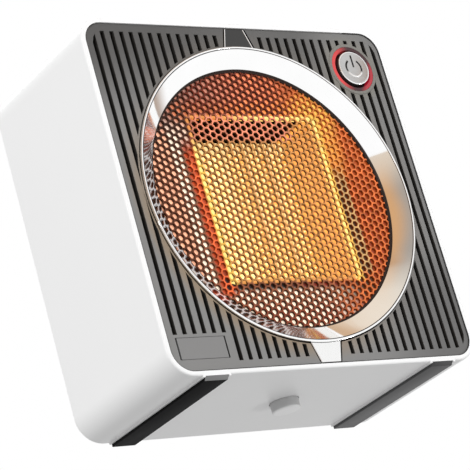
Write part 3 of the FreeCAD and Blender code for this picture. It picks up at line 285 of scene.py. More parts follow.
# %% Moulded grain
NOISE_MIDDLE = 0.5
moulded_grain, entry, leave = new_group(
    "moulded_grain",
    {"Scale": ("Float", 2500.0), "Roughness": ("Float", 0.4), "Spread": ("Float", 0.08)},
    {"Height": "Float", "Roughness": "Float"})
place = add_node(moulded_grain, "TexCoord").outputs["Object"]
grain = add_node(moulded_grain, "TexNoise",
                 {"Vector": place, "Scale": entry.outputs["Scale"], "Detail": 3.0,
                  "Roughness": 0.6})
cloud = add_node(moulded_grain, "TexNoise", {"Vector": place, "Scale": 40.0, "Detail": 2.0})
drift = sums(moulded_grain, "SUBTRACT", cloud.outputs[0], NOISE_MIDDLE)
gloss = sums(moulded_grain, "MULTIPLY_ADD", drift, entry.outputs["Spread"],
             entry.outputs["Roughness"])
moulded_grain.links.new(grain.outputs[0], leave.inputs["Height"])
moulded_grain.links.new(gloss, leave.inputs["Roughness"])
print("group:", moulded_grain.name, "nodes:", len(moulded_grain.nodes))

# %% [markdown]
# ## Tone drift
# No moulded, painted or heated surface has quite one colour. Vertex colours could hold the change,
# piece by piece. A slow noise that lifts and lowers whatever colour it is given does it for all of
# them.

# %% Tone drift
tone_drift, entry, leave = new_group(
    "tone_drift",
    {"Colour": ("Color", (0.5, 0.5, 0.5, 1)), "Drift": ("Float", 0.06), "Scale": ("Float", 30.0)},
    {"Colour": "Color"})
place = add_node(tone_drift, "TexCoord").outputs["Object"]
cloud = add_node(tone_drift, "TexNoise",
                 {"Vector": place, "Scale": entry.outputs["Scale"], "Detail": 4.0})
drift = sums(tone_drift, "SUBTRACT", cloud.outputs[0], NOISE_MIDDLE)
level = sums(tone_drift, "MULTIPLY_ADD", drift, entry.outputs["Drift"], 1.0)
toned = add_node(tone_drift, "VectorMath", {0: entry.outputs["Colour"], "Scale": level},
                 operation="SCALE")
tone_drift.links.new(toned.outputs[0], leave.inputs["Colour"])
print("group:", tone_drift.name, "nodes:", len(tone_drift.nodes))

# %% [markdown]
# ## Drawn lines
# Sheet metal is rolled or drawn, which leaves long fine lines in its gloss. An anisotropic shader
# gives the streaked highlight without the lines. Noise that is squeezed across and stretched along
# shows the lines themselves.

# %% Drawn lines
drawn_lines, entry, leave = new_group(
    "drawn_lines",
    {"Stretch": ("Vector", (4000.0, 4000.0, 60.0)), "Roughness": ("Float", 0.25),
     "Spread": ("Float", 0.15)},
    {"Height": "Float", "Roughness": "Float"})
place = add_node(drawn_lines, "TexCoord").outputs["Object"]
stretched = add_node(drawn_lines, "VectorMath", {0: place, 1: entry.outputs["Stretch"]},
                     operation="MULTIPLY")
lines = add_node(drawn_lines, "TexNoise",
                 {"Vector": stretched.outputs[0], "Scale": 1.0, "Detail": 3.0})
drift = sums(drawn_lines, "SUBTRACT", lines.outputs[0], NOISE_MIDDLE)
gloss = sums(drawn_lines, "MULTIPLY_ADD", drift, entry.outputs["Spread"],
             entry.outputs["Roughness"])
drawn_lines.links.new(lines.outputs[0], leave.inputs["Height"])
drawn_lines.links.new(gloss, leave.inputs["Roughness"])
print("shared effects:", [group.name for group in bpy.data.node_groups])

# %% [markdown]
# ## Heat round the duct's mouth
# The guard, the reflector and the duct all take painted glow from the element. The painted glow
# depends on where a point lies: strong beside the mouth and to the right, weaker to the left. One
# group measures that place from the mouth, in metres, and each material turns it into its own
# colours.

# %% Heat round the mouth
mouth_heat, entry, leave = new_group(
    "mouth_heat",
    {"Half Width": ("Float", MOUTH_HALF_WIDTH), "Half Height": ("Float", MOUTH_HALF_HEIGHT),
     "Middle": ("Float", MIDDLE)},
    {"Across": "Float", "Rise": "Float", "Reach": "Float"})
place = add_node(mouth_heat, "TexCoord").outputs["Object"]
parts = add_node(mouth_heat, "SeparateXYZ", {0: place})
rise = sums(mouth_heat, "SUBTRACT", parts.outputs["Z"], entry.outputs["Middle"])
out_across = sums(mouth_heat, "SUBTRACT", sums(mouth_heat, "ABSOLUTE", parts.outputs["X"]),
                  entry.outputs["Half Width"])
out_up = sums(mouth_heat, "SUBTRACT", sums(mouth_heat, "ABSOLUTE", rise),
              entry.outputs["Half Height"])
reach = sums(mouth_heat, "MAXIMUM", out_across, out_up)
for label, source in {"Across": parts.outputs["X"], "Rise": rise, "Reach": reach}.items():
    mouth_heat.links.new(source, leave.inputs[label])


def zone(tree, heat, **ranges):
    """Share of a zone; each range gives the millimetres where it starts and where it is full."""
    share = None
    for label, ends in ranges.items():
        part = fade_mm(tree, heat.outputs[label.capitalize()], *ends)
        share = part if share is None else both(tree, share, part)
    return share


def corner_zone(tree, heat, start, full):
    """Share of a round zone at the mouth's upper right corner, the hottest place."""
    across, rise = heat.outputs["Across"], heat.outputs["Rise"]
    distance = away(tree, across, rise, MOUTH_HALF_WIDTH, MOUTH_HALF_HEIGHT)
    return fade_mm(tree, distance, start, full)


print("group:", mouth_heat.name, "nodes:", len(mouth_heat.nodes))

# %% [markdown]
# ## Plastics and rubber
# The sleeve, the badge, the fan and the feet all come out of moulds. Each could have a recipe of
# its own. They share one, with their own colour, gloss and grain, as one moulder would make them.

# %% Plastics and rubber
def moulded(name, colour, roughness, grain_scale=2500.0, grain_depth=0.01 * MM, tone=0.05,
            **settings):
    """Moulded plastic or rubber."""
    material, tree, shader = new_finish(name, **settings)
    grain = use_group(tree, moulded_grain, Scale=grain_scale, Roughness=roughness, Spread=0.1)
    colour = use_group(tree, tone_drift, Colour=(*colour, 1), Drift=tone)
    feed(tree, shader, Base_Color=colour.outputs[0], Roughness=grain.outputs["Roughness"])
    add_bump(tree, shader, grain.outputs["Height"], grain_depth)
    return material


white_plastic = moulded("white_plastic", (0.86, 0.86, 0.86), 0.38, grain_depth=0.004 * MM,
                        tone=0.02)
badge_plastic = moulded("badge_plastic", (0.208, 0.207, 0.206), 0.5, 1800.0, 0.012 * MM, tone=0.08)
black_plastic = moulded("black_plastic", (0.018, 0.018, 0.018), 0.55, Specular_IOR_Level=0.2)
# Near-black walls of the panel's openings: painted shade.
slot_shade_plastic = moulded("slot_shade_plastic", (0.046, 0.042, 0.038), 0.55, Specular_IOR_Level=0.2)
# Near-black rim of the guard: painted shadow of the gap between ring and guard.
rim_shade_lacquer = moulded("rim_shade_lacquer", (0.02, 0.01, 0.007), 0.55, Specular_IOR_Level=0.2)
# Near-black strip in the gap round the panel: painted shade of that gap.
gap_shade_plastic = moulded("gap_shade_plastic", (0.045, 0.045, 0.045), 0.55, Specular_IOR_Level=0.2)
fan_plastic = moulded("fan_plastic", (0.03, 0.03, 0.032), 0.45)
foot_rubber = moulded("foot_rubber", (0.008, 0.008, 0.0085), 0.7, 1500.0, 0.03 * MM, tone=0.3,
                      Specular_IOR_Level=0.03)
# Lighter rubbers as painted light: a painted sheen on the right strip, a lit ramp on the left foot.
sheen_rubber = moulded("sheen_rubber", (0.027, 0.027, 0.028), 0.55, 1500.0, 0.03 * MM, tone=0.4)
lit_ramp_rubber = moulded("lit_ramp_rubber", (0.22, 0.22, 0.22), 0.6, 1500.0, 0.03 * MM, tone=0.4)
smoked_plastic = moulded("smoked_plastic", (0.02, 0.019, 0.018), 0.08, grain_depth=0.001 * MM)
relay_plastic = moulded("relay_plastic", (0.02, 0.08, 0.30), 0.4)
terminal_plastic = moulded("terminal_plastic", (0.02, 0.16, 0.05), 0.45)
board_lacquer = moulded("board_lacquer", (0.01, 0.09, 0.03), 0.3, 600.0, 0.02 * MM, tone=0.5)
print("materials so far:", len(bpy.data.materials))

# %% [markdown]
# ## Plunger
# The tip-over plunger is a white pin below the heater. Its tip is painted light and its side
# painted grey as shade. Two materials would meet in a hard line. One soft step along its height
# paints the change.

# %% Plunger
plunger_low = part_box("tip_plunger")[0]


def plunger_paint():
    """White plunger: painted light on the tip, painted shade greying its side."""
    material, tree, shader = new_finish("plunger_plastic")
    height = beyond(tree, "Z", plunger_low.z)
    # Painted light on the tip, painted shade up the side.
    colour = blend_colours(tree, fade_mm(tree, height, 0.05, 0.8), (0.93, 0.93, 0.93),
                           (0.55, 0.55, 0.55))
    toned = use_group(tree, tone_drift, Colour=colour, Drift=0.05, Scale=200.0)
    grain = use_group(tree, moulded_grain, Roughness=0.4, Spread=0.1)
    feed(tree, shader, Base_Color=toned.outputs[0], Roughness=grain.outputs["Roughness"])
    add_bump(tree, shader, grain.outputs["Height"], 0.004 * MM)
    return material


plunger_plastic = plunger_paint()
print("made", plunger_plastic.name)

# %% [markdown]
# ## Painted front
# The front is grey, but not one grey: painted shade deepens it towards the top and the lower right,
# and painted warm glow tints it near the ring. Shadows would move with the lamps. The paint keeps
# its tones in zones measured from the middle.

# %% Painted front
LEAST_GLOW_SPILL = 0.1


def panel_painted_light():
    """Grey paint: painted shade at the top and the lower right, painted warm glow near the ring."""
    material, tree, shader = new_finish("grey_plastic")
    heat = use_group(tree, mouth_heat)
    across, rise = heat.outputs["Across"], heat.outputs["Rise"]
    # Painted light and shade: warm glow near the ring, shade towards the top and at the lower
    # right.
    near_ring = fade_mm(tree, away(tree, across, rise), 75, 66.5)
    low_left = fade_mm(tree, sums(tree, "ADD", across, rise), 5, -95)
    glow_spill = both(tree, near_ring, sums(tree, "MAXIMUM", low_left, LEAST_GLOW_SPILL))
    low_right_shade = both(tree, fade_mm(tree, across, 25, 62), fade_mm(tree, rise, -20, -48))
    by_button = fade_mm(tree, away(tree, across, rise, BUTTON_X, BUTTON_Z - MIDDLE), 17, 12)
    low = blend_colours(tree, fade_mm(tree, across, 0.0, 60), (0.207, 0.206, 0.203),
                        (0.178, 0.177, 0.175))
    low = blend_colours(tree, low_right_shade, low, (0.118, 0.117, 0.116))
    top = blend_colours(tree, fade_mm(tree, across, -45, 20), (0.077, 0.076, 0.075),
                        (0.1, 0.099, 0.097))
    top = blend_colours(tree, fade_mm(tree, across, 30, 52), top, (0.166, 0.164, 0.16))
    colour = blend_colours(tree, fade_mm(tree, rise, 22, 68), low, top)
    colour = blend_colours(tree, by_button, colour, (0.185, 0.178, 0.16))
    colour = blend_colours(tree, glow_spill, colour, (0.25, 0.19, 0.13))
    toned = use_group(tree, tone_drift, Colour=colour, Drift=0.12, Scale=30.0)
    grain = use_group(tree, moulded_grain, Scale=1800.0, Roughness=0.5, Spread=0.12)
    feed(tree, shader, Base_Color=toned.outputs[0], Roughness=grain.outputs["Roughness"])
    add_bump(tree, shader, grain.outputs["Height"], 0.02 * MM)
    return material


grey_plastic = panel_painted_light()
print("made", grey_plastic.name)

# %% [markdown]
# ## Metals
# Ring, trims, button and screws are bare metal. A mirror with a plain colour looks liquid. A
# little roughness that follows the drawn lines, and a slight relief, make it sheet. Chrome has
# almost none of either.

# %% Metals
def sheet_metal(name, colour, roughness, stretch=(4000.0, 4000.0, 60.0), depth=0.004 * MM):
    """Bare metal with drawn lines along the axis of least stretch."""
    material, tree, shader = new_finish(name, Metallic=1.0)
    lines = use_group(tree, drawn_lines, Stretch=stretch, Roughness=roughness,
                      Spread=0.6 * roughness)
    colour = use_group(tree, tone_drift, Colour=(*colour, 1), Drift=0.08, Scale=60.0)
    feed(tree, shader, Base_Color=colour.outputs[0], Roughness=lines.outputs["Roughness"])
    add_bump(tree, shader, lines.outputs["Height"], depth)
    return material


chrome = sheet_metal("chrome", (0.98, 0.98, 0.98), 0.05, (300.0, 300.0, 300.0), 0.0005 * MM)
steel = sheet_metal("steel", (0.6, 0.6, 0.62), 0.3)
blackened_steel = sheet_metal("blackened_steel", (0.03, 0.03, 0.032), 0.5)
brass = sheet_metal("brass", (0.75, 0.55, 0.22), 0.3)
motor_steel = sheet_metal("motor_steel", (0.3, 0.3, 0.32), 0.4, (3000.0, 60.0, 3000.0))
trim_metal = sheet_metal("trim_metal", (0.905, 0.905, 0.9), 0.12, (300.0, 300.0, 300.0),
                         0.0005 * MM)
button_metal = sheet_metal("button_metal", (0.58, 0.585, 0.585), 0.45, (300.0, 4000.0, 2500.0),
                           0.02 * MM)
print("materials so far:", len(bpy.data.materials))

# %% [markdown]
# ## Button sign
# The sign on the button is dark metal, with a painted highlight that makes it bright below. It
# could be two inlays. One soft step by height changes the colour where the painted highlight ends.

# %% Button sign
def sign_metal():
    """Inlay of the power sign: dark at its top, with a painted highlight bright below."""
    material, tree, shader = new_finish("symbol_metal", Metallic=1.0)
    rise = beyond(tree, "Z", BUTTON_Z)
    # Painted highlight: the sign turns bright below.
    colour = blend_colours(tree, fade_mm(tree, rise, -2.6, -1.0), (0.93, 0.93, 0.93),
                           (0.035, 0.035, 0.036))
    toned = use_group(tree, tone_drift, Colour=colour, Drift=0.2, Scale=300.0)
    lines = use_group(tree, drawn_lines, Stretch=(2000.0, 2000.0, 2000.0), Roughness=0.4,
                      Spread=0.2)
    feed(tree, shader, Base_Color=toned.outputs[0], Roughness=lines.outputs["Roughness"])
    return material


symbol_metal = sign_metal()
print("made", symbol_metal.name)

# %% [markdown]
# ## Reflector plate
# Behind the guard a bright plate surrounds the mouth. Its colours are painted light: cream at the
# lower left as a painted reflection, red glow to the right, and painted shade along the mouth.
# Light bouncing between plate and guard would need many samples, so a part of the glow is the
# plate's own emission, in the zones of its colour.

# %% Reflector plate
# Painted light on the plate: cream and peach are painted reflection, ember, red and gold are
# painted glow, and the near-black below the mouth is painted shade.
CREAM, PEACH = (1.0, 0.84, 0.66), (1.0, 0.5, 0.31)
LEFT_EMBER, CORNER_GOLD = (0.45, 0.06, 0.015), (1.0, 0.55, 0.1)
LOW_SHADE_DARK, LOW_RED = (0.012, 0.005, 0.004), (0.2, 0.02, 0.008)


def plate_above(tree, heat):
    """Painted glow on the plate above the mouth: brighter to the right, paler further up."""
    near = layers(tree, (0.6, 0.18, 0.08), (zone(tree, heat, across=(-25, 5)), (1.0, 0.3, 0.08)))
    far = layers(tree, (0.4, 0.185, 0.14),
                 (zone(tree, heat, across=(-30, 10)), (0.95, 0.27, 0.12)))
    return layers(tree, near, (zone(tree, heat, reach=(3, 10)), far))


def plate_right(tree, heat):
    """Painted glow on the plate right of the mouth: red, painted shade by the mouth, glowing
    further up.
    """
    edge = zone(tree, heat, reach=(8.5, 6.5), rise=(19, 8))
    glow = zone(tree, heat, reach=(13, 5), rise=(4, 22))
    return layers(tree, (0.25, 0.033, 0.006),
                  (zone(tree, heat, rise=(-10, 30)), (0.42, 0.075, 0.012)),
                  (edge, (0.06, 0.02, 0.006)), (glow, (0.85, 0.33, 0.05)))


def warm_reflector():
    """Bright plate round the mouth, painted with glow, reflection and shade, that throws the glow
    forward.
    """
    material, tree, shader = new_finish("reflector_metal", Emission_Strength=0.5)
    heat = use_group(tree, mouth_heat)
    low_shade = layers(tree, LOW_SHADE_DARK, (zone(tree, heat, across=(-6, 8)), LOW_RED))
    colour = layers(
        tree, CREAM,
        (zone(tree, heat, reach=(10.3, 12.5), rise=(-46, -40)), PEACH),
        (zone(tree, heat, reach=(7, 5), across=(-30, -33), rise=(32, 20)), LEFT_EMBER),
        (zone(tree, heat, reach=(4.5, 2), rise=(-30, -36)), low_shade),
        (zone(tree, heat, rise=(25, 38)), plate_above(tree, heat)),
        (zone(tree, heat, across=(8, 34)), plate_right(tree, heat)),
        (corner_zone(tree, heat, 15, 5), CORNER_GOLD))
    toned = use_group(tree, tone_drift, Colour=colour, Drift=0.8, Scale=220.0)
    lines = use_group(tree, drawn_lines, Stretch=(900.0, 900.0, 900.0), Roughness=0.35, Spread=0.2)
    feed(tree, shader, Base_Color=toned.outputs[0], Emission_Color=toned.outputs[0],
         Roughness=lines.outputs["Roughness"])
    return material


reflector_metal = warm_reflector()
print("made", reflector_metal.name)

# %% [markdown]
# ## Duct
# The square duct is bare metal. Its gold in the element's light is painted on, and its black
# ceiling is painted shade. A lamp inside would light the ceiling too. So the walls have zones of
# painted light and shade as the plate has, with less light of their own.

# %% Duct
def warm_duct():
    """Duct walls: painted shade along the ceiling, painted glow gold below and orange on the right.
    """
    material, tree, shader = new_finish("duct_metal", Specular_IOR_Level=0.0, Emission_Strength=0.3)
    heat = use_group(tree, mouth_heat)
    across, rise = heat.outputs["Across"], heat.outputs["Rise"]
    ceiling = fade(tree, rise, MOUTH_HALF_HEIGHT - 5 * MM, MOUTH_HALF_HEIGHT - 1.5 * MM)
    ceiling = both(tree, ceiling, fade_mm(tree, across, -31, -26))
    corner = fade_mm(tree, away(tree, across, rise, MOUTH_HALF_WIDTH, MOUTH_HALF_HEIGHT), 5, 1)
    colour = blend_colours(tree, fade_mm(tree, across, 0.0, 30), (0.9, 0.62, 0.3), (1.0, 0.6, 0.22))
    # Painted shade: the ceiling is painted near-black.
    colour = blend_colours(tree, ceiling, colour, (0.004, 0.002, 0.0015))
    colour = blend_colours(tree, corner, colour, (0.95, 0.6, 0.2))
    toned = use_group(tree, tone_drift, Colour=colour, Drift=0.6, Scale=200.0)
    lines = use_group(tree, drawn_lines, Stretch=(900.0, 60.0, 900.0), Roughness=0.4, Spread=0.2)
    feed(tree, shader, Base_Color=toned.outputs[0], Emission_Color=toned.outputs[0],
         Roughness=lines.outputs["Roughness"])
    return material


duct_metal = warm_duct()
print("made", duct_metal.name)

# %% [markdown]
# ## Webs and holes of the guard
# The guard is steel sheet in a dark lacquer. The glow on it is painted: its webs orange at the
# right and brown at the left, a bright line beside the mouth, and the walls of its holes painted
# dark as shade. Lamps could tint them, but on webs this thin such light comes out as noise. So
# light and shade are painted in zones, as on the plate.

# %% Webs and holes of the guard
LINE_OFFSET = 0.4 * MM


def guard_zones(tree, heat):
    """Shares of the zones that the webs and the walls of the holes have in common."""
    return {
        "left edge": zone(tree, heat, reach=(6, 3.5), across=(-30, -33), rise=(32, 20)),
        "right": zone(tree, heat, across=(10, 36)),
        "mouth": zone(tree, heat, reach=(0.8, -0.8)),
        "mouth right": zone(tree, heat, across=(8, 22)),
        "ceiling": zone(tree, heat, rise=(24, 27), across=(22, 14))}


def mouth_line(tree, heat):
    """Share of the painted bright line of glow that the guard shows along the mouth's sides."""
    from_edge = sums(tree, "ABSOLUTE", sums(tree, "ADD", heat.outputs["Reach"], LINE_OFFSET))
    beside = fade_mm(tree, sums(tree, "ABSOLUTE", heat.outputs["Across"]), 29, 31)
    below_or_right = sums(tree, "MAXIMUM", zone(tree, heat, rise=(28, 12)),
                          zone(tree, heat, across=(0, 5)))
    return both(tree, fade_mm(tree, from_edge, 1.8, 1.0), both(tree, beside, below_or_right))


def web_colour(tree, heat, shares):
    """Colour of the guard's front with painted glow and shade, from the dark left to the glow at
    the right.
    """
    over_mouth = layers(tree, (0.5, 0.24, 0.07), (shares["mouth right"], (0.6, 0.25, 0.07)),
                        (shares["ceiling"], (0.82, 0.27, 0.155)))
    right_edge = both(tree, zone(tree, heat, reach=(7.8, 6.2), across=(30, 33), rise=(19, 8)),
                      zone(tree, heat, rise=(-36, -32)))
    right_glow = zone(tree, heat, reach=(13, 5), across=(30, 33), rise=(4, 22))
    return layers(
        tree, (0.24, 0.058, 0.027),
        (zone(tree, heat, rise=(-38, -30)), (0.12, 0.036, 0.016)),
        (zone(tree, heat, reach=(14, 6)), (0.26, 0.085, 0.04)),
        (zone(tree, heat, rise=(25, 38)), (0.15, 0.024, 0.01)),
        (shares["right"], (0.7, 0.17, 0.047)),
        (shares["left edge"], (0.85, 0.15, 0.045)),
        (right_edge, (0.62, 0.36, 0.14)),
        (right_glow, (0.75, 0.29, 0.06)),
        (corner_zone(tree, heat, 14, 4), (0.62, 0.2, 0.04)),
        (shares["mouth"], over_mouth),
        (mouth_line(tree, heat), (0.8, 0.45, 0.08)),
        (zone(tree, heat, rise=(12, 28), across=(-28, -36)), (0.06, 0.022, 0.014)))


def wall_colour(tree, shares):
    """Colour of the walls of the guard's holes: painted shade, with painted glow at the right."""
    over_mouth = layers(tree, (0.055, 0.028, 0.012),
                        (shares["mouth right"], (0.075, 0.026, 0.01)))
    return layers(tree, (0.04, 0.014, 0.006), (shares["right"], (0.2, 0.03, 0.006)),
                  (shares["left edge"], (0.22, 0.025, 0.01)), (shares["mouth"], over_mouth),
                  (both(tree, shares["ceiling"], shares["mouth"]), (0.03, 0.01, 0.005)))


print("colours of the guard:", web_colour.__name__, wall_colour.__name__)

# %% [markdown]
# ## Guard lacquer
# Lacquer is clear on top, and at a slant it mirrors the studio as glass does, which the chrome
# ring then shows as a pale guard. A plain gloss would shine from the front too. So a clear coat
# lies over the colour, and its weight rises with the slant of the surface.

# %% Guard lacquer
COAT_START, COAT_FULL = 0.4, 0.54


def guard_paint():
    """Heatproof lacquer on the guard: dark at the left, with painted orange glow where the glow
    falls on it.
    """
    material, tree, shader = new_finish("guard_lacquer", IOR=2.0, Coat_IOR=8.0,
                                        Coat_Roughness=0.08, Specular_Tint=(0.05, 0.05, 0.05, 1))
    slant = add_node(tree, "LayerWeight", {"Blend": 0.5}).outputs["Facing"]
    feed(tree, shader, Coat_Weight=fade(tree, slant, COAT_START, COAT_FULL))
    heat = use_group(tree, mouth_heat)
    shares = guard_zones(tree, heat)
    in_the_hole = fade_mm(tree, beyond(tree, "Y", guard_low.y), 0.1, 0.3)
    colour = layers(tree, web_colour(tree, heat, shares), (in_the_hole, wall_colour(tree, shares)))
    toned = use_group(tree, tone_drift, Colour=colour, Drift=2.2, Scale=330.0)
    lines = use_group(tree, drawn_lines, Stretch=(900.0, 900.0, 900.0), Roughness=0.4, Spread=0.2)
    feed(tree, shader, Base_Color=toned.outputs[0], Roughness=lines.outputs["Roughness"])
    return material


guard_lacquer = guard_paint()
print("made", guard_lacquer.name, "nodes:", len(guard_lacquer.node_tree.nodes))

# %% [markdown]
# ## Glowing pieces
# Ceramic bars with folded fins glow from yellow to orange; the mouth's roll has painted glow.
# Each could hold a lamp. Emission keeps the light on the piece: it sinks with depth, wanders, and
# shows the dark gaps between the folds.

# %% Glowing pieces
fins_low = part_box("ptc_fins")[0]
FOLD_PITCH = 1.9 * MM


def folded(tree, glow):
    """Thin upright gaps between the folds of the fins, in the mouth's right half."""
    across = use_group(tree, mouth_heat).outputs["Across"]
    folds = sums(tree, "SINE", sums(tree, "MULTIPLY", across, 2 * math.pi / FOLD_PITCH))
    gaps = both(tree, fade(tree, folds, -0.2, 0.7), fade_mm(tree, across, 0.0, 3))
    return blend_colours(tree, gaps, glow, (0.5, 0.25, 0.06))


def glowing(name, dim, bright, strength, base, scale):
    """Hot surface whose emission wanders between two colours."""
    material, tree, shader = new_finish(name, Emission_Strength=strength, Roughness=0.6)
    place = add_node(tree, "TexCoord").outputs["Object"]
    flicker = add_node(tree, "TexNoise", {"Vector": place, "Scale": scale, "Detail": 3.0})
    glow = folded(tree, blend_colours(tree, fade(tree, flicker.outputs[0], 0.3, 0.7), dim, bright))
    tone = use_group(tree, tone_drift, Colour=(*base, 1))
    feed(tree, shader, Emission_Color=glow, Base_Color=tone.outputs[0])
    return material


def fin_glow():
    """Thin fins that glow yellow along their front edges and sink to orange deeper in."""
    material, tree, shader = new_finish("hot_fins", Emission_Strength=1.0, Roughness=0.6)
    depth = beyond(tree, "Y", fins_low.y)
    glow = blend_colours(tree, fade_mm(tree, depth, 0.2, 4), (1.0, 0.87, 0.46), (0.75, 0.37, 0.07))
    glow = use_group(tree, tone_drift, Colour=folded(tree, glow), Drift=0.5, Scale=300.0)
    tone = use_group(tree, tone_drift, Colour=(0.8, 0.5, 0.2, 1))
    feed(tree, shader, Emission_Color=glow.outputs[0], Base_Color=tone.outputs[0])
    return material


hot_fins = fin_glow()
hot_ceramic = glowing("hot_ceramic", (0.95, 0.68, 0.28), (1.0, 0.82, 0.42), 1.0, (0.8, 0.5, 0.3),
                      120.0)


def roll_glow():
    """Rolled edge of the mouth, painted with the glow it catches: yellow down both sides and at the
    upper right, brown elsewhere.
    """
    material, tree, shader = new_finish("mouth_glow", Emission_Strength=1.0, Roughness=0.6)
    heat = use_group(tree, mouth_heat)
    across, rise = heat.outputs["Across"], heat.outputs["Rise"]
    side = both(tree, fade_mm(tree, sums(tree, "ABSOLUTE", across), 29, 31),
                fade_mm(tree, rise, 31, 18))
    upper_right = both(tree, fade_mm(tree, across, -18, 4), fade_mm(tree, rise, 20, 30))
    glow = blend_colours(tree, fade_mm(tree, rise, -20, 20), (0.5, 0.18, 0.03), (0.45, 0.12, 0.02))
    glow = blend_colours(tree, sums(tree, "MAXIMUM", side, upper_right), glow, (1.0, 0.76, 0.22))
    glow = use_group(tree, tone_drift, Colour=glow, Drift=0.7, Scale=220.0)
    tone = use_group(tree, tone_drift, Colour=(0.45, 0.22, 0.07, 1))
    feed(tree, shader, Emission_Color=glow.outputs[0], Base_Color=tone.outputs[0])
    return material


mouth_glow = roll_glow()
print("made", hot_fins.name, hot_ceramic.name, mouth_glow.name)

# %% [markdown]
# ## Light ring of the button
# A red light guide lies round the button, with a small lamp at each side. Real lamps would light
# the panel too, which the guide doesn't. So its emission is bright along its outer edge near the
# lamps.

# %% Light ring of the button
LEFT_LAMP = (-0.9945, 0.1045)
RIGHT_LAMP = (0.875, -0.485)


def lit_ring():
    """Red light guide with a lamp at each side: bright near the lamps and round its outer edge."""
    material, tree, shader = new_finish("red_light", Emission_Strength=0.8, Roughness=0.25)
    across, rise = beyond(tree, "X", BUTTON_X), beyond(tree, "Z", BUTTON_Z)
    left_side, right_side = (
        sums(tree, "MULTIPLY_ADD", across, towards[0], sums(tree, "MULTIPLY", rise, towards[1]))
        for towards in (LEFT_LAMP, RIGHT_LAMP))
    near_lamp = sums(tree, "MAXIMUM", fade_mm(tree, left_side, 0.0, 8),
                     fade_mm(tree, right_side, 5.5, 9.3))
    edge = both(tree, fade_mm(tree, away(tree, across, rise), 8.3, 9.3), near_lamp)
    lamp = blend_colours(tree, fade_mm(tree, left_side, -3, 3), (0.4, 0.008, 0.025),
                         (0.75, 0.05, 0.05))
    glow = blend_colours(tree, edge, (0.03, 0.002, 0.004), lamp)
    glow = use_group(tree, tone_drift, Colour=glow, Drift=0.6, Scale=120.0)
    base = blend_colours(tree, edge, (0.02, 0.006, 0.008), (0.15, 0.012, 0.014))
    feed(tree, shader, Emission_Color=glow.outputs[0], Base_Color=base)
    return material


red_light = lit_ring()
print("finishes:", len(bpy.data.materials))

# %% [markdown]
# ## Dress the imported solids
# Most pieces are right as they were packed: the sleeve, the fan, the motor, the board, the screws.
# They could be rebuilt, but only their finish is missing, so it is filled in by the slot that the
# record gives each node.

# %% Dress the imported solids
FINISH_OF_SLOT = {
    "white_plastic": white_plastic, "grey_plastic": grey_plastic, "badge_grey": badge_plastic,
    "chrome_trim": chrome, "smoked_window": smoked_plastic, "guard_metal": guard_lacquer,
    "reflector_metal": reflector_metal, "black_plastic": black_plastic, "duct_metal": duct_metal,
    "glowing_ceramic": hot_ceramic, "glowing_fins": hot_fins, "brass_parts": brass,
    "steel_parts": steel,
    "motor_steel": motor_steel, "fan_plastic": fan_plastic, "foot_rubber": foot_rubber,
    "red_light": red_light, "button_metal": button_metal, "board_green": board_lacquer,
    "relay_blue": relay_plastic, "terminal_green": terminal_plastic,
}
for sub_part in frame["record"]["subparts"]:
    solid = frame["nodes"][sub_part["node"]]
    solid.data.materials.clear()
    solid.data.materials.append(FINISH_OF_SLOT[sub_part["material_slot"]])
frame["nodes"]["tip_plunger"].data.materials[0] = plunger_plastic
frame["nodes"]["chassis_screws"].data.materials[0] = blackened_steel

# %% [markdown]
# ## Outlines
# The pieces that are rebuilt start as outlines with rounded corners. A bevel modifier rounds every
# corner alike. Here each corner of an outline has its own radius.

# %% Shape helpers
def soften(corners, steps=6):
    """Round the corners of a closed outline; each corner is (across, up, radius)."""
    outline = []
    for index, (across, rise, radius) in enumerate(corners):
        corner = Vector((across, rise))
        if radius == 0:
            outline.append((across, rise))
            continue
        before = (Vector(corners[index - 1][:2]) - corner).normalized()
        after = (Vector(corners[(index + 1) % len(corners)][:2]) - corner).normalized()
        half = before.angle(after) / 2
        centre = corner + (before + after).normalized() * radius / math.sin(half)
        start = corner + before * radius / math.tan(half) - centre
        turn = (math.pi - 2 * half) * (-1 if before.cross(after) > 0 else 1)
        outline += [tuple(centre + Matrix.Rotation(turn * step / steps, 2) @ start)
                    for step in range(steps + 1)]
    return outline


def circle(radius, count, x=0.0, z=0.0):
    """Points of a circle seen from the front."""
    return [(x + radius * math.cos(2 * math.pi * step / count),
             z + radius * math.sin(2 * math.pi * step / count))
            for step in range(count)]


print("helpers:", soften.__name__, circle.__name__)

# %% [markdown]
# ## Turned pieces
# Ring, rim, cap and collar are round. A Screw modifier turns a profile too. Turning it in bmesh
# gives a finished mesh at once, whose faces can be sorted by place and given different finishes.

# %% Turned pieces
MERGE_DISTANCE = 0.001 * MM
SLIVER_LENGTH = 0.0005 * MM
SHARP_ANGLE = math.radians(35)


def finish_mesh(build, name):
    """Clean a bmesh, turn it into a mesh and shade it smooth up to an angle."""
    bmesh.ops.remove_doubles(build, verts=build.verts, dist=MERGE_DISTANCE)
    bmesh.ops.dissolve_degenerate(build, edges=build.edges, dist=SLIVER_LENGTH)
    bmesh.ops.recalc_face_normals(build, faces=build.faces)
    mesh = bpy.data.meshes.new(name)
    build.to_mesh(mesh)
    build.free()
    mesh.shade_smooth()
    mesh.set_sharp_from_angle(angle=SHARP_ANGLE)
    return mesh


def spun(name, profile, steps, x=0.0, z=MIDDLE):
    """Spin a closed profile of (radius, depth) points about an axis along Y."""
    build = bmesh.new()
    rings = []
    for step in range(steps):
        angle = 2 * math.pi * step / steps
        rings.append([build.verts.new((x + radius * math.cos(angle), y,
                                       z + radius * math.sin(angle)))
                      for radius, y in profile])
    for here, there in zip(rings, rings[1:] + rings[:1]):
        for index in range(len(profile)):
            build.faces.new((here[index - 1], here[index], there[index], there[index - 1]))
    return finish_mesh(build, name)


print("helpers:", finish_mesh.__name__, spun.__name__)

# %% [markdown]
# ## Wires and plates
# Coils and the sign are wire; panel, trims and badge are flat plates. Both can come from a curve:
# a line with a round bevel, or closed lines filled and extruded. Booleans would leave uneven
# edges, while a curve bevels every edge alike.

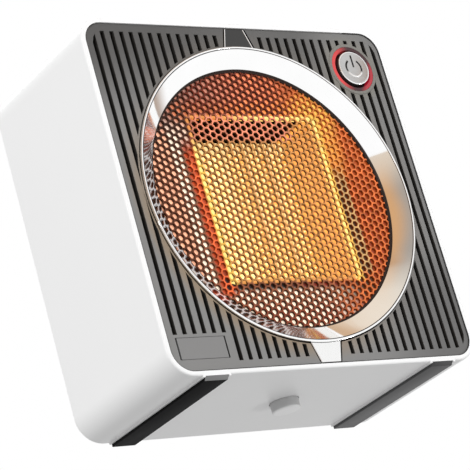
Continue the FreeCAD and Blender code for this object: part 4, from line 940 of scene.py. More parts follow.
# %% Wires and plates
def line_mesh(name, splines, thickness, fill="FULL", extrude=0.0, offset=0.0, flat=False):
    """Mesh of a bevelled curve; splines are lists of points and whether each is closed."""
    curve = bpy.data.curves.new(name, "CURVE")
    curve.dimensions = "2D" if flat else "3D"
    curve.fill_mode = fill
    curve.bevel_depth = thickness
    curve.bevel_resolution = 2
    curve.extrude = extrude
    curve.offset = offset
    curve.use_fill_caps = not flat
    for points, closed in splines:
        spline = curve.splines.new("POLY")
        spline.points.add(len(points) - 1)
        for target, point in zip(spline.points, points):
            target.co = (*point, 1) if len(point) == 3 else (*point, 0, 1)
        spline.use_cyclic_u = closed
    carrier = bpy.data.objects.new(name, curve)
    mesh = bpy.data.meshes.new_from_object(carrier)
    bpy.data.objects.remove(carrier)
    mesh.name = name
    return mesh


def plate(name, outlines, front, back, bevel):
    """Flat bevelled plate between two depths; outlines are (x, height above the middle)."""
    mesh = line_mesh(name, [(outline, True) for outline in outlines], bevel, "BOTH",
                     (back - front) / 2 - bevel, -bevel, True)
    mesh.transform(Matrix.Translation((0, (front + back) / 2,
                                       MIDDLE)) @ Matrix.Rotation(math.pi / 2, 4, "X"))
    build = bmesh.new()
    build.from_mesh(mesh)
    bmesh.ops.remove_doubles(build, verts=build.verts, dist=MERGE_DISTANCE)
    bmesh.ops.recalc_face_normals(build, faces=build.faces)
    if build.calc_volume(signed=True) < 0:
        bmesh.ops.reverse_faces(build, faces=build.faces)
    print(name, "open edges:", sum(len(edge.link_faces) != 2 for edge in build.edges))
    build.to_mesh(mesh)
    build.free()
    mesh.shade_flat()
    return mesh


print("helpers:", line_mesh.__name__, plate.__name__)

# %% [markdown]
# ## Pieces
# A mesh becomes a piece of the heater when it rides on one of its bodies. Parenting would move it
# too, and the helper also gives it its finish and hides the solid that it stands for.

# %% Pieces
def show(name, mesh, finish, slot, body="housing", replaces=()):
    """Put a mesh in the scene as a piece that rides on a body."""
    mesh.materials.clear()
    mesh.materials.append(finish)
    piece = bpy.data.objects.new(name, mesh)
    scene.collection.objects.link(piece)
    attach(piece, body)
    if replaces:
        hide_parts(*replaces)
    print(name, "faces:", len(mesh.polygons))
    return piece


print("helper:", show.__name__)

# %% [markdown]
# ## Openings of the front panel
# Upright slots stop short of the ring, the button's collar and the badge. They could be cut by
# hand. Each is worked out from three upright lines: what is free of the margins stays. A slot that
# the ring only grazes loses an arc from its inner side.

# %% Openings of the front panel
badge_low, badge_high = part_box("blank_badge")
SLOT_PITCH = 4.597 * MM
SLOT_SHIFT = 0.7 * MM
SLOT_HALF = 0.98 * MM
SLOT_SIDE_MARGIN = 2.7 * MM
SLOT_END_MARGIN = 3.35 * MM
SLOT_CORNER = 5.5 * MM
RING_BORDER = 1.0 * MM
COLLAR_RADIUS = 12.2 * MM
BADGE_BORDER = 1.5 * MM
FIRST_SLOT = 2
LAST_SLOT = 15
LEAST_SLOT = 0.6 * MM
BITE_STEPS = 8
button_rise = BUTTON_Z - MIDDLE
surround = RING_RADIUS + RING_BORDER


def slot_free(x, middle, grazing):
    """Free stretches of height along an upright line at x, which belongs to the slot at middle."""
    inset = max(0.0, abs(x - SLOT_SHIFT) - (PANEL_HALF - SLOT_SIDE_MARGIN - SLOT_CORNER))
    rounding = math.sqrt(max(0.0, SLOT_CORNER ** 2 - inset ** 2))
    top = PANEL_HALF - SLOT_END_MARGIN - SLOT_CORNER + rounding
    stretches = [(-top, top)]
    blocked = []
    if abs(x) < surround and not grazing:
        blocked.append((0.0, math.sqrt(surround ** 2 - x ** 2)))
    if abs(x - BUTTON_X) < COLLAR_RADIUS:
        blocked.append((button_rise, math.sqrt(COLLAR_RADIUS ** 2 - (x - BUTTON_X) ** 2)))
    if middle - SLOT_HALF < badge_high.x + BADGE_BORDER:
        blocked.append((-PANEL_HALF, badge_high.z + BADGE_BORDER - MIDDLE + PANEL_HALF))
    for centre, half in blocked:
        low, high = centre - half, centre + half
        cut = [(a, min(b, low)) for a, b in stretches] + [(max(a, high), b) for a, b in stretches]
        stretches = [(a, b) for a, b in cut if b - a > LEAST_SLOT]
    return sorted(stretches)


def ring_bite(inner, side):
    """Arc that the ring's border takes out of the inner side of a slot that it only grazes."""
    reach = math.sqrt(surround ** 2 - inner ** 2)
    heights = [reach * step / BITE_STEPS for step in range(1 - BITE_STEPS, BITE_STEPS)]
    return [(side * math.sqrt(surround ** 2 - height ** 2), height) for height in heights]


def slot_outlines():
    """Outlines of all slots."""
    outlines = []
    for step in range(FIRST_SLOT, LAST_SLOT + 1):
        for side in (-1, 1):
            x = side * (step + 0.5) * SLOT_PITCH + SLOT_SHIFT
            inner = abs(x) - SLOT_HALF
            grazing = inner < surround < abs(x) + SLOT_HALF
            lines = [(x + share * SLOT_HALF, slot_free(x + share * SLOT_HALF, x, grazing))
                     for share in (-1, 0, 1)]
            for index in range(min(len(free) for _, free in lines)):
                low_edge = [(across, free[index][0]) for across, free in lines]
                high_edge = [(across, free[index][1]) for across, free in lines]
                passes_ring = grazing and low_edge[1][1] < 0 < high_edge[1][1]
                bite = ring_bite(inner, side) if passes_ring else []
                if side > 0:
                    outlines.append(low_edge + high_edge[::-1] + bite[::-1])
                else:
                    outlines.append(low_edge + bite + high_edge[::-1])
    return outlines


slots = slot_outlines()
print("slot openings:", len(slots))

# %% [markdown]
# ## Round opening of the panel
# The ring lies in a round hole, and tapered openings for the trims run out of it. A boolean could
# join them. One outline, walked once round, keeps the corners clean. It is a little off the
# middle, which leaves a thin dark groove.

# %% Round opening of the panel
trim_low, trim_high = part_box("top_trim")
RING_GROOVE = 0.33 * MM
GROOVE_SHIFT = 0.1 * MM
ARC_STEPS = 144
TRIM_GAP = 0.1 * MM
TRIM_LEFT_GAP = 0.35 * MM
TRIM_RIGHT_GAP = 0.7 * MM
TRIM_WIDE = 7.4 * MM
TRIM_NARROW = 4.8 * MM
ring_hole = RING_RADIUS + RING_GROOVE
trim_end = trim_high.z - MIDDLE


def ring_opening():
    """The round hole with the two trim openings that run out of it, above and below."""
    points = []
    for side, gap in ((1, TRIM_RIGHT_GAP), (-1, TRIM_LEFT_GAP)):
        start = math.asin((TRIM_WIDE + gap) / ring_hole)
        arc = [start + (math.pi - 2 * start) * step / ARC_STEPS for step in range(ARC_STEPS + 1)]
        points.append((side * (TRIM_NARROW + gap), side * (trim_end + TRIM_GAP)))
        points += [(side * ring_hole * math.sin(angle) + GROOVE_SHIFT,
                    side * ring_hole * math.cos(angle) - GROOVE_SHIFT) for angle in arc]
        points.append((side * (TRIM_NARROW + gap), -side * (trim_end + TRIM_GAP)))
    return points


round_opening = ring_opening()
print("points of the round opening:", len(round_opening))

# %% [markdown]
# ## Front panel
# The panel is one moulding with all those openings. Cutting them one by one would be slow. As one
# filled curve it gets the same small bevel everywhere. Faces towards the front take paint, and the
# walls of the openings take near-black plastic as painted shade.

# %% Front panel
PANEL_CORNER = 8.7 * MM
PANEL_CORNER_STEPS = 10
PAINT_NORMAL = -0.2
PANEL_THICKNESS = 2.5 * MM
PANEL_BEVEL = 0.2 * MM
BADGE_GAP = 0.1 * MM
BADGE_END_GAP = 0.65 * MM
LIGHT_HOLE = 10.7 * MM
LIGHT_HOLE_STEPS = 72
square = [(1, 1), (-1, 1), (-1, -1), (1, -1)]
panel_outline = soften([(x * PANEL_HALF, z * PANEL_HALF, PANEL_CORNER) for x, z in square],
                       PANEL_CORNER_STEPS)
badge_hole = [(badge_low.x, badge_low.z - MIDDLE - BADGE_GAP),
              (badge_high.x + BADGE_END_GAP, badge_low.z - MIDDLE - BADGE_GAP),
              (badge_high.x + BADGE_END_GAP, badge_high.z - MIDDLE + BADGE_GAP),
              (badge_low.x, badge_high.z - MIDDLE + BADGE_GAP)]
openings = [round_opening, circle(LIGHT_HOLE, LIGHT_HOLE_STEPS, BUTTON_X, button_rise), badge_hole,
            *slots]
panel_mesh = plate("front_panel_face", [panel_outline, *openings], PANEL_FACE,
                   PANEL_FACE + PANEL_THICKNESS, PANEL_BEVEL)
show("front_panel_face", panel_mesh, grey_plastic, "grey_plastic", replaces=["front_panel"])
# The walls of the openings take the near-black finish as painted shade.
panel_mesh.materials.append(slot_shade_plastic)
for face in panel_mesh.polygons:
    face.material_index = int(face.normal.y > PAINT_NORMAL)

# %% [markdown]
# ## Shade in the gap round the panel
# A thin dark strip fills the gap between panel and sleeve on most of its way round, as painted
# shade. It could be a painted line. A narrow plate stands a little proud and throws its own fine
# shadow.

# %% Shade in the gap round the panel
GAP_SHADE_START, GAP_SHADE_END = 0.03 * MM, 0.26 * MM
GAP_SHADE_BEVEL = 0.03 * MM
GAP_SHADE_INNER = PANEL_HALF + GAP_SHADE_START
GAP_SHADE_OUTER = PANEL_HALF + GAP_SHADE_END
GAP_SHADE_PROUD = 0.42 * MM
GAP_SHADE_DEEP = 0.6 * MM
GAP_SHADE_LEFT_END = 60 * MM
GAP_SHADE_TOP_END = 58 * MM
outer_corner, inner_corner = PANEL_CORNER + GAP_SHADE_END, PANEL_CORNER + GAP_SHADE_START
gap_shade_outline = soften([
    (-GAP_SHADE_OUTER, GAP_SHADE_LEFT_END, 0), (-GAP_SHADE_OUTER, -GAP_SHADE_OUTER, outer_corner),
    (GAP_SHADE_OUTER, -GAP_SHADE_OUTER, outer_corner),
    (GAP_SHADE_OUTER, GAP_SHADE_OUTER, outer_corner), (GAP_SHADE_TOP_END, GAP_SHADE_OUTER, 0),
    (GAP_SHADE_TOP_END, GAP_SHADE_INNER, 0),
    (GAP_SHADE_INNER, GAP_SHADE_INNER, inner_corner), (GAP_SHADE_INNER, -GAP_SHADE_INNER, inner_corner),
    (-GAP_SHADE_INNER, -GAP_SHADE_INNER, inner_corner), (-GAP_SHADE_INNER, GAP_SHADE_LEFT_END, 0)], PANEL_CORNER_STEPS)
gap_shade_mesh = plate("panel_gap_shade", [gap_shade_outline], PANEL_FACE - GAP_SHADE_PROUD, PANEL_FACE + GAP_SHADE_DEEP,
                  GAP_SHADE_BEVEL)
show("panel_gap_shade", gap_shade_mesh, gap_shade_plastic, "black_plastic")

# %% [markdown]
# ## Blank badge
# A plain plate lies in the panel's lower left corner. It could be a square drawn on the panel. As
# a plate of its own, with gaps at its ends, it shows the fine dark lines of a separate piece.

# %% Blank badge
BADGE_CORNER = 0.3 * MM
BADGE_BEVEL = 0.15 * MM
badge_left = badge_low.x + BADGE_END_GAP
badge_outline = soften([(badge_left, badge_low.z - MIDDLE, BADGE_CORNER),
                        (badge_high.x, badge_low.z - MIDDLE, BADGE_CORNER),
                        (badge_high.x, badge_high.z - MIDDLE, BADGE_CORNER),
                        (badge_left, badge_high.z - MIDDLE, BADGE_CORNER)])
badge_mesh = plate("badge_plate", [badge_outline], badge_low.y, badge_high.y, BADGE_BEVEL)
show("badge_plate", badge_mesh, badge_plastic, "badge_grey", replaces=["blank_badge"])

# %% [markdown]
# ## Chrome ring
# The ring is pressed from sheet and plated: a rolled lip, a thin step painted black as shade, then
# a dish that hollows slightly. A subdivided ring would round the step away. Polish shows every
# facet, so an exact profile is spun in many steps.

# %% Chrome ring
LIP_WIDTH = 0.8 * MM
LIP_FRONT = ring_low.y + 0.02 * MM
LIP_STEP = 0.15 * MM
LIP_DEPTH = 1.5 * MM
LIP_ROUND, LIP_INNER_ROUND = 0.3 * MM, 0.1 * MM
LIP_UNDERCUT = 0.05 * MM
STEP_WIDTH = 0.38 * MM
STEP_TOLERANCE = 0.005 * MM
DISH_STEPS = 12
SAG_OUT, SAG_BACK = 0.6, 0.8
RING_SEAT = 1.9 * MM
LIP_BACK_INSET, LIP_BACK_DEPTH = 1.7 * MM, 2.8 * MM
DISH_HOLLOW = 0.05 * MM
DISH_SLOPE = 0.716
RING_INNER = RING_RADIUS - 8.0 * MM
RING_STEPS = 240
dish_outer = RING_RADIUS - LIP_WIDTH - STEP_WIDTH
dish_front = LIP_FRONT + LIP_STEP
dish_depth = DISH_SLOPE * (dish_outer - RING_INNER)
dish = []
for step in range(DISH_STEPS + 1):
    share = step / DISH_STEPS
    sag = DISH_HOLLOW * 4 * share * (1 - share)
    dish.append((dish_outer + share * (RING_INNER - dish_outer) + SAG_OUT * sag,
                 dish_front + share * dish_depth + SAG_BACK * sag))
lip = soften([(RING_RADIUS, LIP_FRONT + LIP_DEPTH, 0), (RING_RADIUS, LIP_FRONT, LIP_ROUND),
              (RING_RADIUS - LIP_WIDTH, LIP_FRONT, LIP_INNER_ROUND),
              (RING_RADIUS - LIP_WIDTH - LIP_UNDERCUT, dish_front, 0)])
back = [(RING_INNER, ring_high.y), (RING_INNER + RING_SEAT, ring_high.y),
        (RING_RADIUS - LIP_BACK_INSET, ring_low.y + LIP_BACK_DEPTH),
        (RING_RADIUS - LIP_BACK_INSET, LIP_FRONT + LIP_DEPTH)]
ring_mesh = spun("chrome_ring_spun", lip + dish + back, RING_STEPS)
show("chrome_ring_spun", ring_mesh, chrome, "chrome_trim", replaces=["chrome_ring"])
# The flat step between lip and dish takes black plastic as painted shade.
ring_mesh.materials.append(black_plastic)
for face in ring_mesh.polygons:
    face.material_index = int(abs(face.center.y - dish_front) < STEP_TOLERANCE)

# %% [markdown]
# ## Trims
# Two trims join the ring to the panel's edge: above, a smoked pane between bright lines, below, a
# bright plate. They narrow outwards, which scaled boxes wouldn't. As plates they share the panel's
# bevels, and an arc closes them against the ring.

# %% Trims
bottom_trim_low, bottom_trim_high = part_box("bottom_trim")
window_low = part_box("top_trim_window")[0]
TRIM_EDGE = 0.45 * MM
TRIM_ARC_STEPS = 10
trim_start = RING_RADIUS + TRIM_GAP


def trim_shape(rise, border):
    """Outline of a trim: an arc along the ring, narrowing outwards; rise is 1 at the top."""
    half = math.asin((TRIM_WIDE - border) / trim_start)
    arc = [-half + 2 * half * step / TRIM_ARC_STEPS for step in range(TRIM_ARC_STEPS + 1)]
    points = [(trim_start * math.sin(angle), rise * trim_start * math.cos(angle)) for angle in arc]
    return points + [(TRIM_NARROW - border, rise * trim_end),
                     (border - TRIM_NARROW, rise * trim_end)]


def trim_edge(side):
    """Outline of the bright line along one side of the top trim."""
    foot = math.sqrt(trim_start ** 2 - TRIM_WIDE ** 2)
    return [(side * TRIM_WIDE, foot), (side * TRIM_NARROW, trim_end),
            (side * (TRIM_NARROW - TRIM_EDGE), trim_end), (side * (TRIM_WIDE - TRIM_EDGE), foot)]


EDGE_BEVEL = 0.1 * MM
PANE_SINK, PANE_BEVEL = 0.1 * MM, 0.05 * MM
LOWER_TRIM_BEVEL = 0.2 * MM
frame_mesh = plate("top_trim_frame", [trim_edge(-1), trim_edge(1)], trim_low.y, trim_high.y,
                   EDGE_BEVEL)
show("top_trim_frame", frame_mesh, chrome, "chrome_trim", replaces=["top_trim"])
pane_mesh = plate("top_trim_pane", [trim_shape(1, TRIM_EDGE)], window_low.y + PANE_SINK,
                  trim_high.y, PANE_BEVEL)
show("top_trim_pane", pane_mesh, smoked_plastic, "smoked_window", replaces=["top_trim_window"])
lower_mesh = plate("bottom_trim_plate", [trim_shape(-1, 0.0)], bottom_trim_low.y,
                   bottom_trim_high.y, LOWER_TRIM_BEVEL)
show("bottom_trim_plate", lower_mesh, trim_metal, "chrome_trim", replaces=["bottom_trim"])

# %% [markdown]
# ## Guard
# The guard is a sheet pierced with small hexagons that narrow towards the back. A boolean for each
# of over a thousand holes would be slow. So it is built cell by cell: front, back and six walls,
# and an outer wall where a cell has no neighbour.

# %% Guard
HOLE_PITCH = 3.12 * MM
FRONT_WEB = 0.6 * MM
BACK_WEB = 1.15 * MM
GUARD_SKIN = 0.03 * MM
LOW_BACK_WEB = 1.45 * MM
LOW_HOLES = (-37 * MM, -42 * MM)
LATTICE_MARGIN = 0.4 * MM


def guard_lattice():
    """Closed sheet of hexagonal cells that ends under the rim."""
    build = bmesh.new()
    cosine = math.cos(math.radians(30))
    outer = HOLE_PITCH / 2 / cosine
    column_step = HOLE_PITCH * cosine
    columns = int(GUARD_RADIUS / column_step)
    rows = int(GUARD_RADIUS / HOLE_PITCH) + 1
    cells = {(2 * row + column % 2, column) for column in range(-columns, columns + 1)
             for row in range(-rows, rows + 1)
             if math.hypot(column * column_step, (row + column % 2 / 2) * HOLE_PITCH) + outer
             < GUARD_RADIUS - LATTICE_MARGIN}
    sides = [(1, 1), (2, 0), (1, -1), (-1, -1), (-2, 0), (-1, 1)]
    depths = (guard_low.y + GUARD_SKIN, guard_high.y - GUARD_SKIN)
    for half_row, column in cells:
        x, z = column * column_step, MIDDLE + half_row * HOLE_PITCH / 2
        low_share = (z - MIDDLE - LOW_HOLES[0]) / (LOW_HOLES[1] - LOW_HOLES[0])
        back_web = BACK_WEB + min(1.0, max(0.0, low_share)) * (LOW_BACK_WEB - BACK_WEB)
        inner = [(HOLE_PITCH - web) / 2 / cosine for web in (FRONT_WEB, back_web)]

        def corners(radii, turn):
            angle = math.radians(60 * turn)
            return [build.verts.new((x + radius * math.cos(angle), y, z + radius * math.sin(angle)))
                    for radius, y in zip(radii, depths)]
        for turn, (up_step, across) in enumerate(sides):
            near_out, far_out = corners((outer, outer), turn), corners((outer, outer), turn + 1)
            near_in, far_in = corners(inner, turn), corners(inner, turn + 1)
            build.faces.new((near_out[0], far_out[0], far_in[0], near_in[0]))
            build.faces.new((near_in[1], far_in[1], far_out[1], near_out[1]))
            build.faces.new((near_in[0], far_in[0], far_in[1], near_in[1]))
            if (half_row + up_step, column + across) not in cells:
                build.faces.new((near_out[1], far_out[1], far_out[0], near_out[0]))
    print("guard holes:", len(cells))
    return finish_mesh(build, "guard_lattice")


show("guard_lattice", guard_lattice(), guard_lacquer, "guard_metal", replaces=["mesh_guard"])

# %% [markdown]
# ## Rim of the guard
# A folded rim stiffens the sheet and hides the cut cells at its edge. It could be modelled as a
# hem. Only its rounded outside is seen, so it is a turned band with four soft corners.

# %% Rim of the guard
RIM_WIDTH = 3.0 * MM
RIM_ROUND = 0.2 * MM
RIM_STEPS = 180
rim_profile = soften([(GUARD_RADIUS, guard_low.y, RIM_ROUND),
                      (GUARD_RADIUS, guard_high.y, RIM_ROUND),
                      (GUARD_RADIUS - RIM_WIDTH, guard_high.y, RIM_ROUND),
                      (GUARD_RADIUS - RIM_WIDTH, guard_low.y, RIM_ROUND)], 3)
# The rim's near-black finish is painted shadow, in the gap between the ring and the guard.
show("guard_rim", spun("guard_rim", rim_profile, RIM_STEPS), rim_shade_lacquer, "guard_metal")

# %% [markdown]
# ## Rolled mouth of the duct
# The duct's front edge is rolled over and catches the glow as a bright line. A bevel on the solid
# would do, but solids stay as they were packed. A closed wire along the mouth makes the roll.

# %% Rolled mouth of the duct
reflector_low, reflector_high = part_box("reflector_plate")
MOUTH_ROLL = 1.15 * MM
MOUTH_CORNER = 1.5 * MM
mouth = soften([(x * (MOUTH_HALF_WIDTH - MOUTH_ROLL / 2), z * (MOUTH_HALF_HEIGHT - MOUTH_ROLL / 2),
                 MOUTH_CORNER)
                for x, z in square], 4)
mouth_points = [(x, (reflector_low.y + reflector_high.y) / 2, MIDDLE + z) for x, z in mouth]
mouth_mesh = line_mesh("duct_mouth_roll", [(mouth_points, True)], MOUTH_ROLL)
mouth_mesh.shade_smooth()
show("duct_mouth_roll", mouth_mesh, mouth_glow, "duct_metal")

# %% [markdown]
# ## Power button
# The cap is a shallow turned dish with a bright edge and a dark side. It could be three pieces. It
# is one turned piece with three finishes, sorted by where each face lies and looks, so the edge
# stays closed.

# %% Power button
CAP_DISH = 0.12 * MM
STEM_RADIUS = 2 * MM
CAP_THICKNESS = 4.8 * MM
CAP_TAPER = 0.15 * MM
CAP_SIDE_NORMAL = -0.3
CAP_RIM = 0.45 * MM
CAP_ROUND = 0.3 * MM
LAND_OUTER, LAND_INNER = 1.0 * MM, 1.3 * MM
LAND_ROUND = 0.1 * MM
TURNED_STEPS = 96
cap_edge = CAP_RADIUS - CAP_TAPER
cap_profile = soften([(0.0, cap_low.y + CAP_DISH, 0),
                      (cap_edge - LAND_INNER, cap_low.y + CAP_DISH, 0),
                      (cap_edge - LAND_OUTER, cap_low.y, LAND_ROUND),
                      (cap_edge - CAP_RIM, cap_low.y, 0),
                      (cap_edge, cap_low.y, CAP_ROUND),
                      (CAP_RADIUS, cap_low.y + CAP_THICKNESS, 0),
                      (STEM_RADIUS, cap_low.y + CAP_THICKNESS, 0),
                      (STEM_RADIUS, cap_high.y, 0), (0.0, cap_high.y, 0)])
cap_mesh = spun("button_cap_turned", cap_profile, TURNED_STEPS, BUTTON_X, BUTTON_Z)
show("button_cap_turned", cap_mesh, button_metal, "button_metal", "button", ["power_button_cap"])
cap_mesh.materials.append(black_plastic)
cap_mesh.materials.append(chrome)
for face in cap_mesh.polygons:
    out = math.hypot(face.center.x - BUTTON_X, face.center.z - BUTTON_Z)
    front_finish = 2 if out > cap_edge - CAP_RIM else 0
    face.material_index = 1 if face.normal.y > CAP_SIDE_NORMAL else front_finish

# %% [markdown]
# ## Power sign
# The generic power sign, a broken circle with a bar, is let into the cap. It could be a mask in
# the cap's material. A flattened wire stands a hair proud, so its edges catch the light as an
# inlay's do.

# %% Power sign
SIGN_RADIUS = 4.0 * MM
SIGN_LINE = 0.45 * MM
SIGN_GAP = math.radians(35)
SIGN_BAR = (0.4 * MM, 6.0 * MM)
SIGN_STEPS = 40
SIGN_FLATNESS = 0.2
turns = [SIGN_GAP + (2 * math.pi - 2 * SIGN_GAP) * step / SIGN_STEPS
         for step in range(SIGN_STEPS + 1)]
sign_arc = [(SIGN_RADIUS * math.sin(turn), 0.0, SIGN_RADIUS * math.cos(turn)) for turn in turns]
sign_mesh = line_mesh("power_sign",
                      [(sign_arc, False), ([(0, 0, rise) for rise in SIGN_BAR], False)], SIGN_LINE)
sign_mesh.transform(Matrix.Translation((BUTTON_X, cap_low.y + CAP_DISH, BUTTON_Z))
                    @ Matrix.Diagonal((1, SIGN_FLATNESS, 1, 1)))
show("power_sign", sign_mesh, symbol_metal, "steel_parts", "button")

# %% [markdown]
# ## Button collar
# A raised collar on the panel frames the lit ring. It could be extruded from the panel, but that
# is a flat plate. So the collar is turned, painted as the panel is, and sunk into its face.

# %% Button collar
COLLAR_PROUD = 0.3 * MM
COLLAR_OVERLAP = 0.1 * MM
COLLAR_TAPER = 0.3 * MM
COLLAR_SUNK = 0.4 * MM
COLLAR_INNER_ROUND, COLLAR_ROUND = 0.15 * MM, 0.3 * MM
collar_profile = soften([(LIGHT_HOLE - COLLAR_OVERLAP, PANEL_FACE - COLLAR_PROUD,
                          COLLAR_INNER_ROUND),
                         (COLLAR_RADIUS - COLLAR_TAPER, PANEL_FACE - COLLAR_PROUD, COLLAR_ROUND),
                         (COLLAR_RADIUS, PANEL_FACE + COLLAR_SUNK, 0),
                         (LIGHT_HOLE - COLLAR_OVERLAP, PANEL_FACE + COLLAR_SUNK, 0)])
show("button_collar", spun("button_collar", collar_profile, TURNED_STEPS, BUTTON_X, BUTTON_Z),
     grey_plastic, "grey_plastic")

# %% [markdown]
# ## Foot strips
# Each foot is a flat rubber strip with a ramp in front. The left ramp is painted pale, as painted
# light on a face that turns to the front, and the right strip is painted lighter as a painted
# sheen.
# A scaled cube has no ramp. A side view drawn as a polygon, pushed across and bevelled, gives the
# whole strip.

# %% Foot strips
FOOT_RAMP = 1.5 * MM
FOOT_ROUND = 0.2 * MM
RAMP_NORMAL = -0.4


def foot_strip(name, node, finish, ramp_finish):
    """Rubber strip in place of a packed foot."""
    low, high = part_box(node)
    side = [(low.y, high.z), (low.y + FOOT_RAMP, low.z), (high.y, low.z), (high.y, high.z)]
    build = bmesh.new()
    outline = [build.verts.new((low.x, y, z)) for y, z in side]
    bottom = build.faces.new(outline)
    pushed = bmesh.ops.extrude_face_region(build, geom=[bottom])["geom"]
    bmesh.ops.translate(build, vec=(high.x - low.x, 0, 0),
                        verts=[item for item in pushed if isinstance(item, bmesh.types.BMVert)])
    bmesh.ops.bevel(build, geom=build.edges[:], offset=FOOT_ROUND, segments=2, affect="EDGES",
                    profile=0.5)
    mesh = finish_mesh(build, name)
    piece = show(name, mesh, finish, "foot_rubber", replaces=[node])
    # Faces that turn to the front take the ramp finish, painted light on the left foot.
    mesh.materials.append(ramp_finish)
    for face in mesh.polygons:
        face.material_index = int(face.normal.y < RAMP_NORMAL)
    return piece


foot_strip("foot_strip_left", "foot_left", foot_rubber, lit_ramp_rubber)
foot_strip("foot_strip_right", "foot_right", sheen_rubber, sheen_rubber)

# %% [markdown]
# ## Springs
# A coil sits above the plunger and another behind the button, and each gets shorter when pressed.
# The solids are plain sleeves. Each spring is wound again as a wire along a helix.

# %% Springs
COIL_STEPS = 24


def wound(name, radius, wire, length, turns):
    """Coil about Z from 0 to length."""
    count = int(turns * COIL_STEPS)
    points = [(radius * math.cos(2 * math.pi * turns * step / count),
               radius * math.sin(2 * math.pi * turns * step / count),
               wire + (length - 2 * wire) * step / count) for step in range(count + 1)]
    mesh = line_mesh(name, [(points, False)], wire)
    mesh.shade_smooth()
    return mesh


spring_low, spring_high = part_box("plunger_spring")
plunger_coil = wound("plunger_coil", 5.0 * MM, 0.35 * MM, spring_high.z - spring_low.z, 5)
plunger_coil.transform(Matrix.Translation((0, 0, spring_low.z)))
piece = show("plunger_coil", plunger_coil, steel, "steel_parts", replaces=["plunger_spring"])
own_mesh(piece)

spring_low, spring_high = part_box("button_spring")
button_coil = wound("button_coil", 4.0 * MM, 0.3 * MM, spring_high.y - spring_low.y, 4)
button_coil.transform(Matrix.Translation((BUTTON_X, spring_low.y, BUTTON_Z))
                      @ Matrix.Rotation(-math.pi / 2, 4, "X"))
piece = show("button_coil", button_coil, steel, "steel_parts", replaces=["button_spring"])
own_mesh(piece)

# %% [markdown]
# ## Floor
# The heater stands on a pale floor, and the picture looks up from below it. Without a floor the
# views from above would have no shadow. So it is see-through from its underside and lets light
# pass.

# %% Floor
FLOOR_SIZE = 3.0
FLOOR_DROP = 0.1 * MM
floor_mesh = bpy.data.meshes.new("floor")
floor_mesh.from_pydata([(x * FLOOR_SIZE, y * FLOOR_SIZE, 0) for x,
                        y in ((-1, -1), (1, -1), (1, 1), (-1, 1))],
                       [], [(0, 1, 2, 3)])
floor = bpy.data.objects.new("floor", floor_mesh)
scene.collection.objects.link(floor)
floor.location.z = -FLOOR_DROP
floor.visible_diffuse = False
floor.visible_glossy = False
floor.visible_shadow = False
floor_paint, tree, shader = new_finish("floor_paint", Roughness=0.9)
tone = use_group(tree, tone_drift, Colour=(0.86, 0.86, 0.86, 1), Drift=0.02, Scale=3.0)
feed(tree, shader, Base_Color=tone.outputs[0])
see_through = add_node(tree, "BsdfTransparent")
under = add_node(tree, "NewGeometry").outputs["Backfacing"]
mixed = add_node(tree, "MixShader", {0: under, 1: shader.outputs[0], 2: see_through.outputs[0]})
output = [item for item in tree.nodes if item.type == "OUTPUT_MATERIAL"][0]
tree.links.new(mixed.outputs[0], output.inputs["Surface"])
floor_mesh.materials.append(floor_paint)
print("floor, m across:", 2 * FLOOR_SIZE)

# %% [markdown]
# ## World
# A white studio surrounds the heater. A plain white world would be far too bright as light. So the
# camera and the metal see white, by the kind of ray, while as light the world is softer, and
# weaker from below.

# %% World
LIGHT_ABOVE = 0.66
LIGHT_BELOW = 0.43
HORIZON = 0.3
world = bpy.data.worlds.new("studio")
scene.world = world
world.use_nodes = True
tree = world.node_tree
tree.nodes.clear()
path = add_node(tree, "LightPath")
seen = sums(tree, "MAXIMUM", path.outputs["Is Camera Ray"], path.outputs["Is Glossy Ray"])
seen = sums(tree, "MAXIMUM", seen, path.outputs["Is Transmission Ray"])
direction = add_node(tree, "SeparateXYZ", {0: add_node(tree, "TexCoord").outputs["Generated"]})
soft_light = add_node(tree, "MapRange",
                      {"Value": direction.outputs["Z"], "From Min": -HORIZON, "From Max": HORIZON,
                                         "To Min": LIGHT_BELOW, "To Max": LIGHT_ABOVE})
level = add_node(tree, "MapRange",
                 {"Value": seen, "To Min": soft_light.outputs["Result"], "To Max": 1.0})
background = add_node(tree, "Background",
                      {"Color": (1, 1, 1, 1), "Strength": level.outputs["Result"]})
add_node(tree, "OutputWorld", {"Surface": background.outputs[0]})
print("light from above and below:", LIGHT_ABOVE, LIGHT_BELOW)

# %% [markdown]
# ## Lamps
# Four soft lamps model the forms: left, front, behind and a small one below. Sun lamps would draw
# hard edges. The front one is kept out of reflections, so that it leaves no square in the ring.

# %% Lamps
def softbox(name, place, power, size):
    """Square area lamp aimed at the heater's middle."""
    lamp = bpy.data.lights.new(name, "AREA")
    lamp.energy = power
    lamp.size = size
    holder = bpy.data.objects.new(name, lamp)
    scene.collection.objects.link(holder)
    holder.location = place
    aim = Vector((0, 0, MIDDLE)) - Vector(place)
    holder.rotation_euler = aim.to_track_quat("-Z", "Y").to_euler()
    return holder


softbox("left_softbox", (-1.3, -0.5, 0.5), 10.0, 0.9)
softbox("front_softbox", (0.5, -1.3, 0.5), 10.0, 0.8).visible_glossy = False
softbox("back_softbox", (0.3, 1.2, 1.1), 3.0, 0.8)
softbox("low_softbox", (0.8, -0.5, -0.5), 1.6, 0.15)
print("lamps:", [lamp.name for lamp in bpy.data.lights])

# %% [markdown]
# ## Studio card
# Polished metal shows the room it stands in, and in a white room the ring would vanish. A picture
# of a studio needs a file. So a curved card, part of a dome, stands in front at the left and wraps
# further round near its top.

# %% Studio card
CARD_RADIUS = 1.2
CARD_TURNS, CARD_LIFTS = 12, 10
CARD_LOW, CARD_HEIGHT = 1.5, 83.5
CARD_START, CARD_SWEEP = -185, 119
WRAP_SWEEP, WRAP_GROWTH, WRAP_START = 100, 360, 0.4


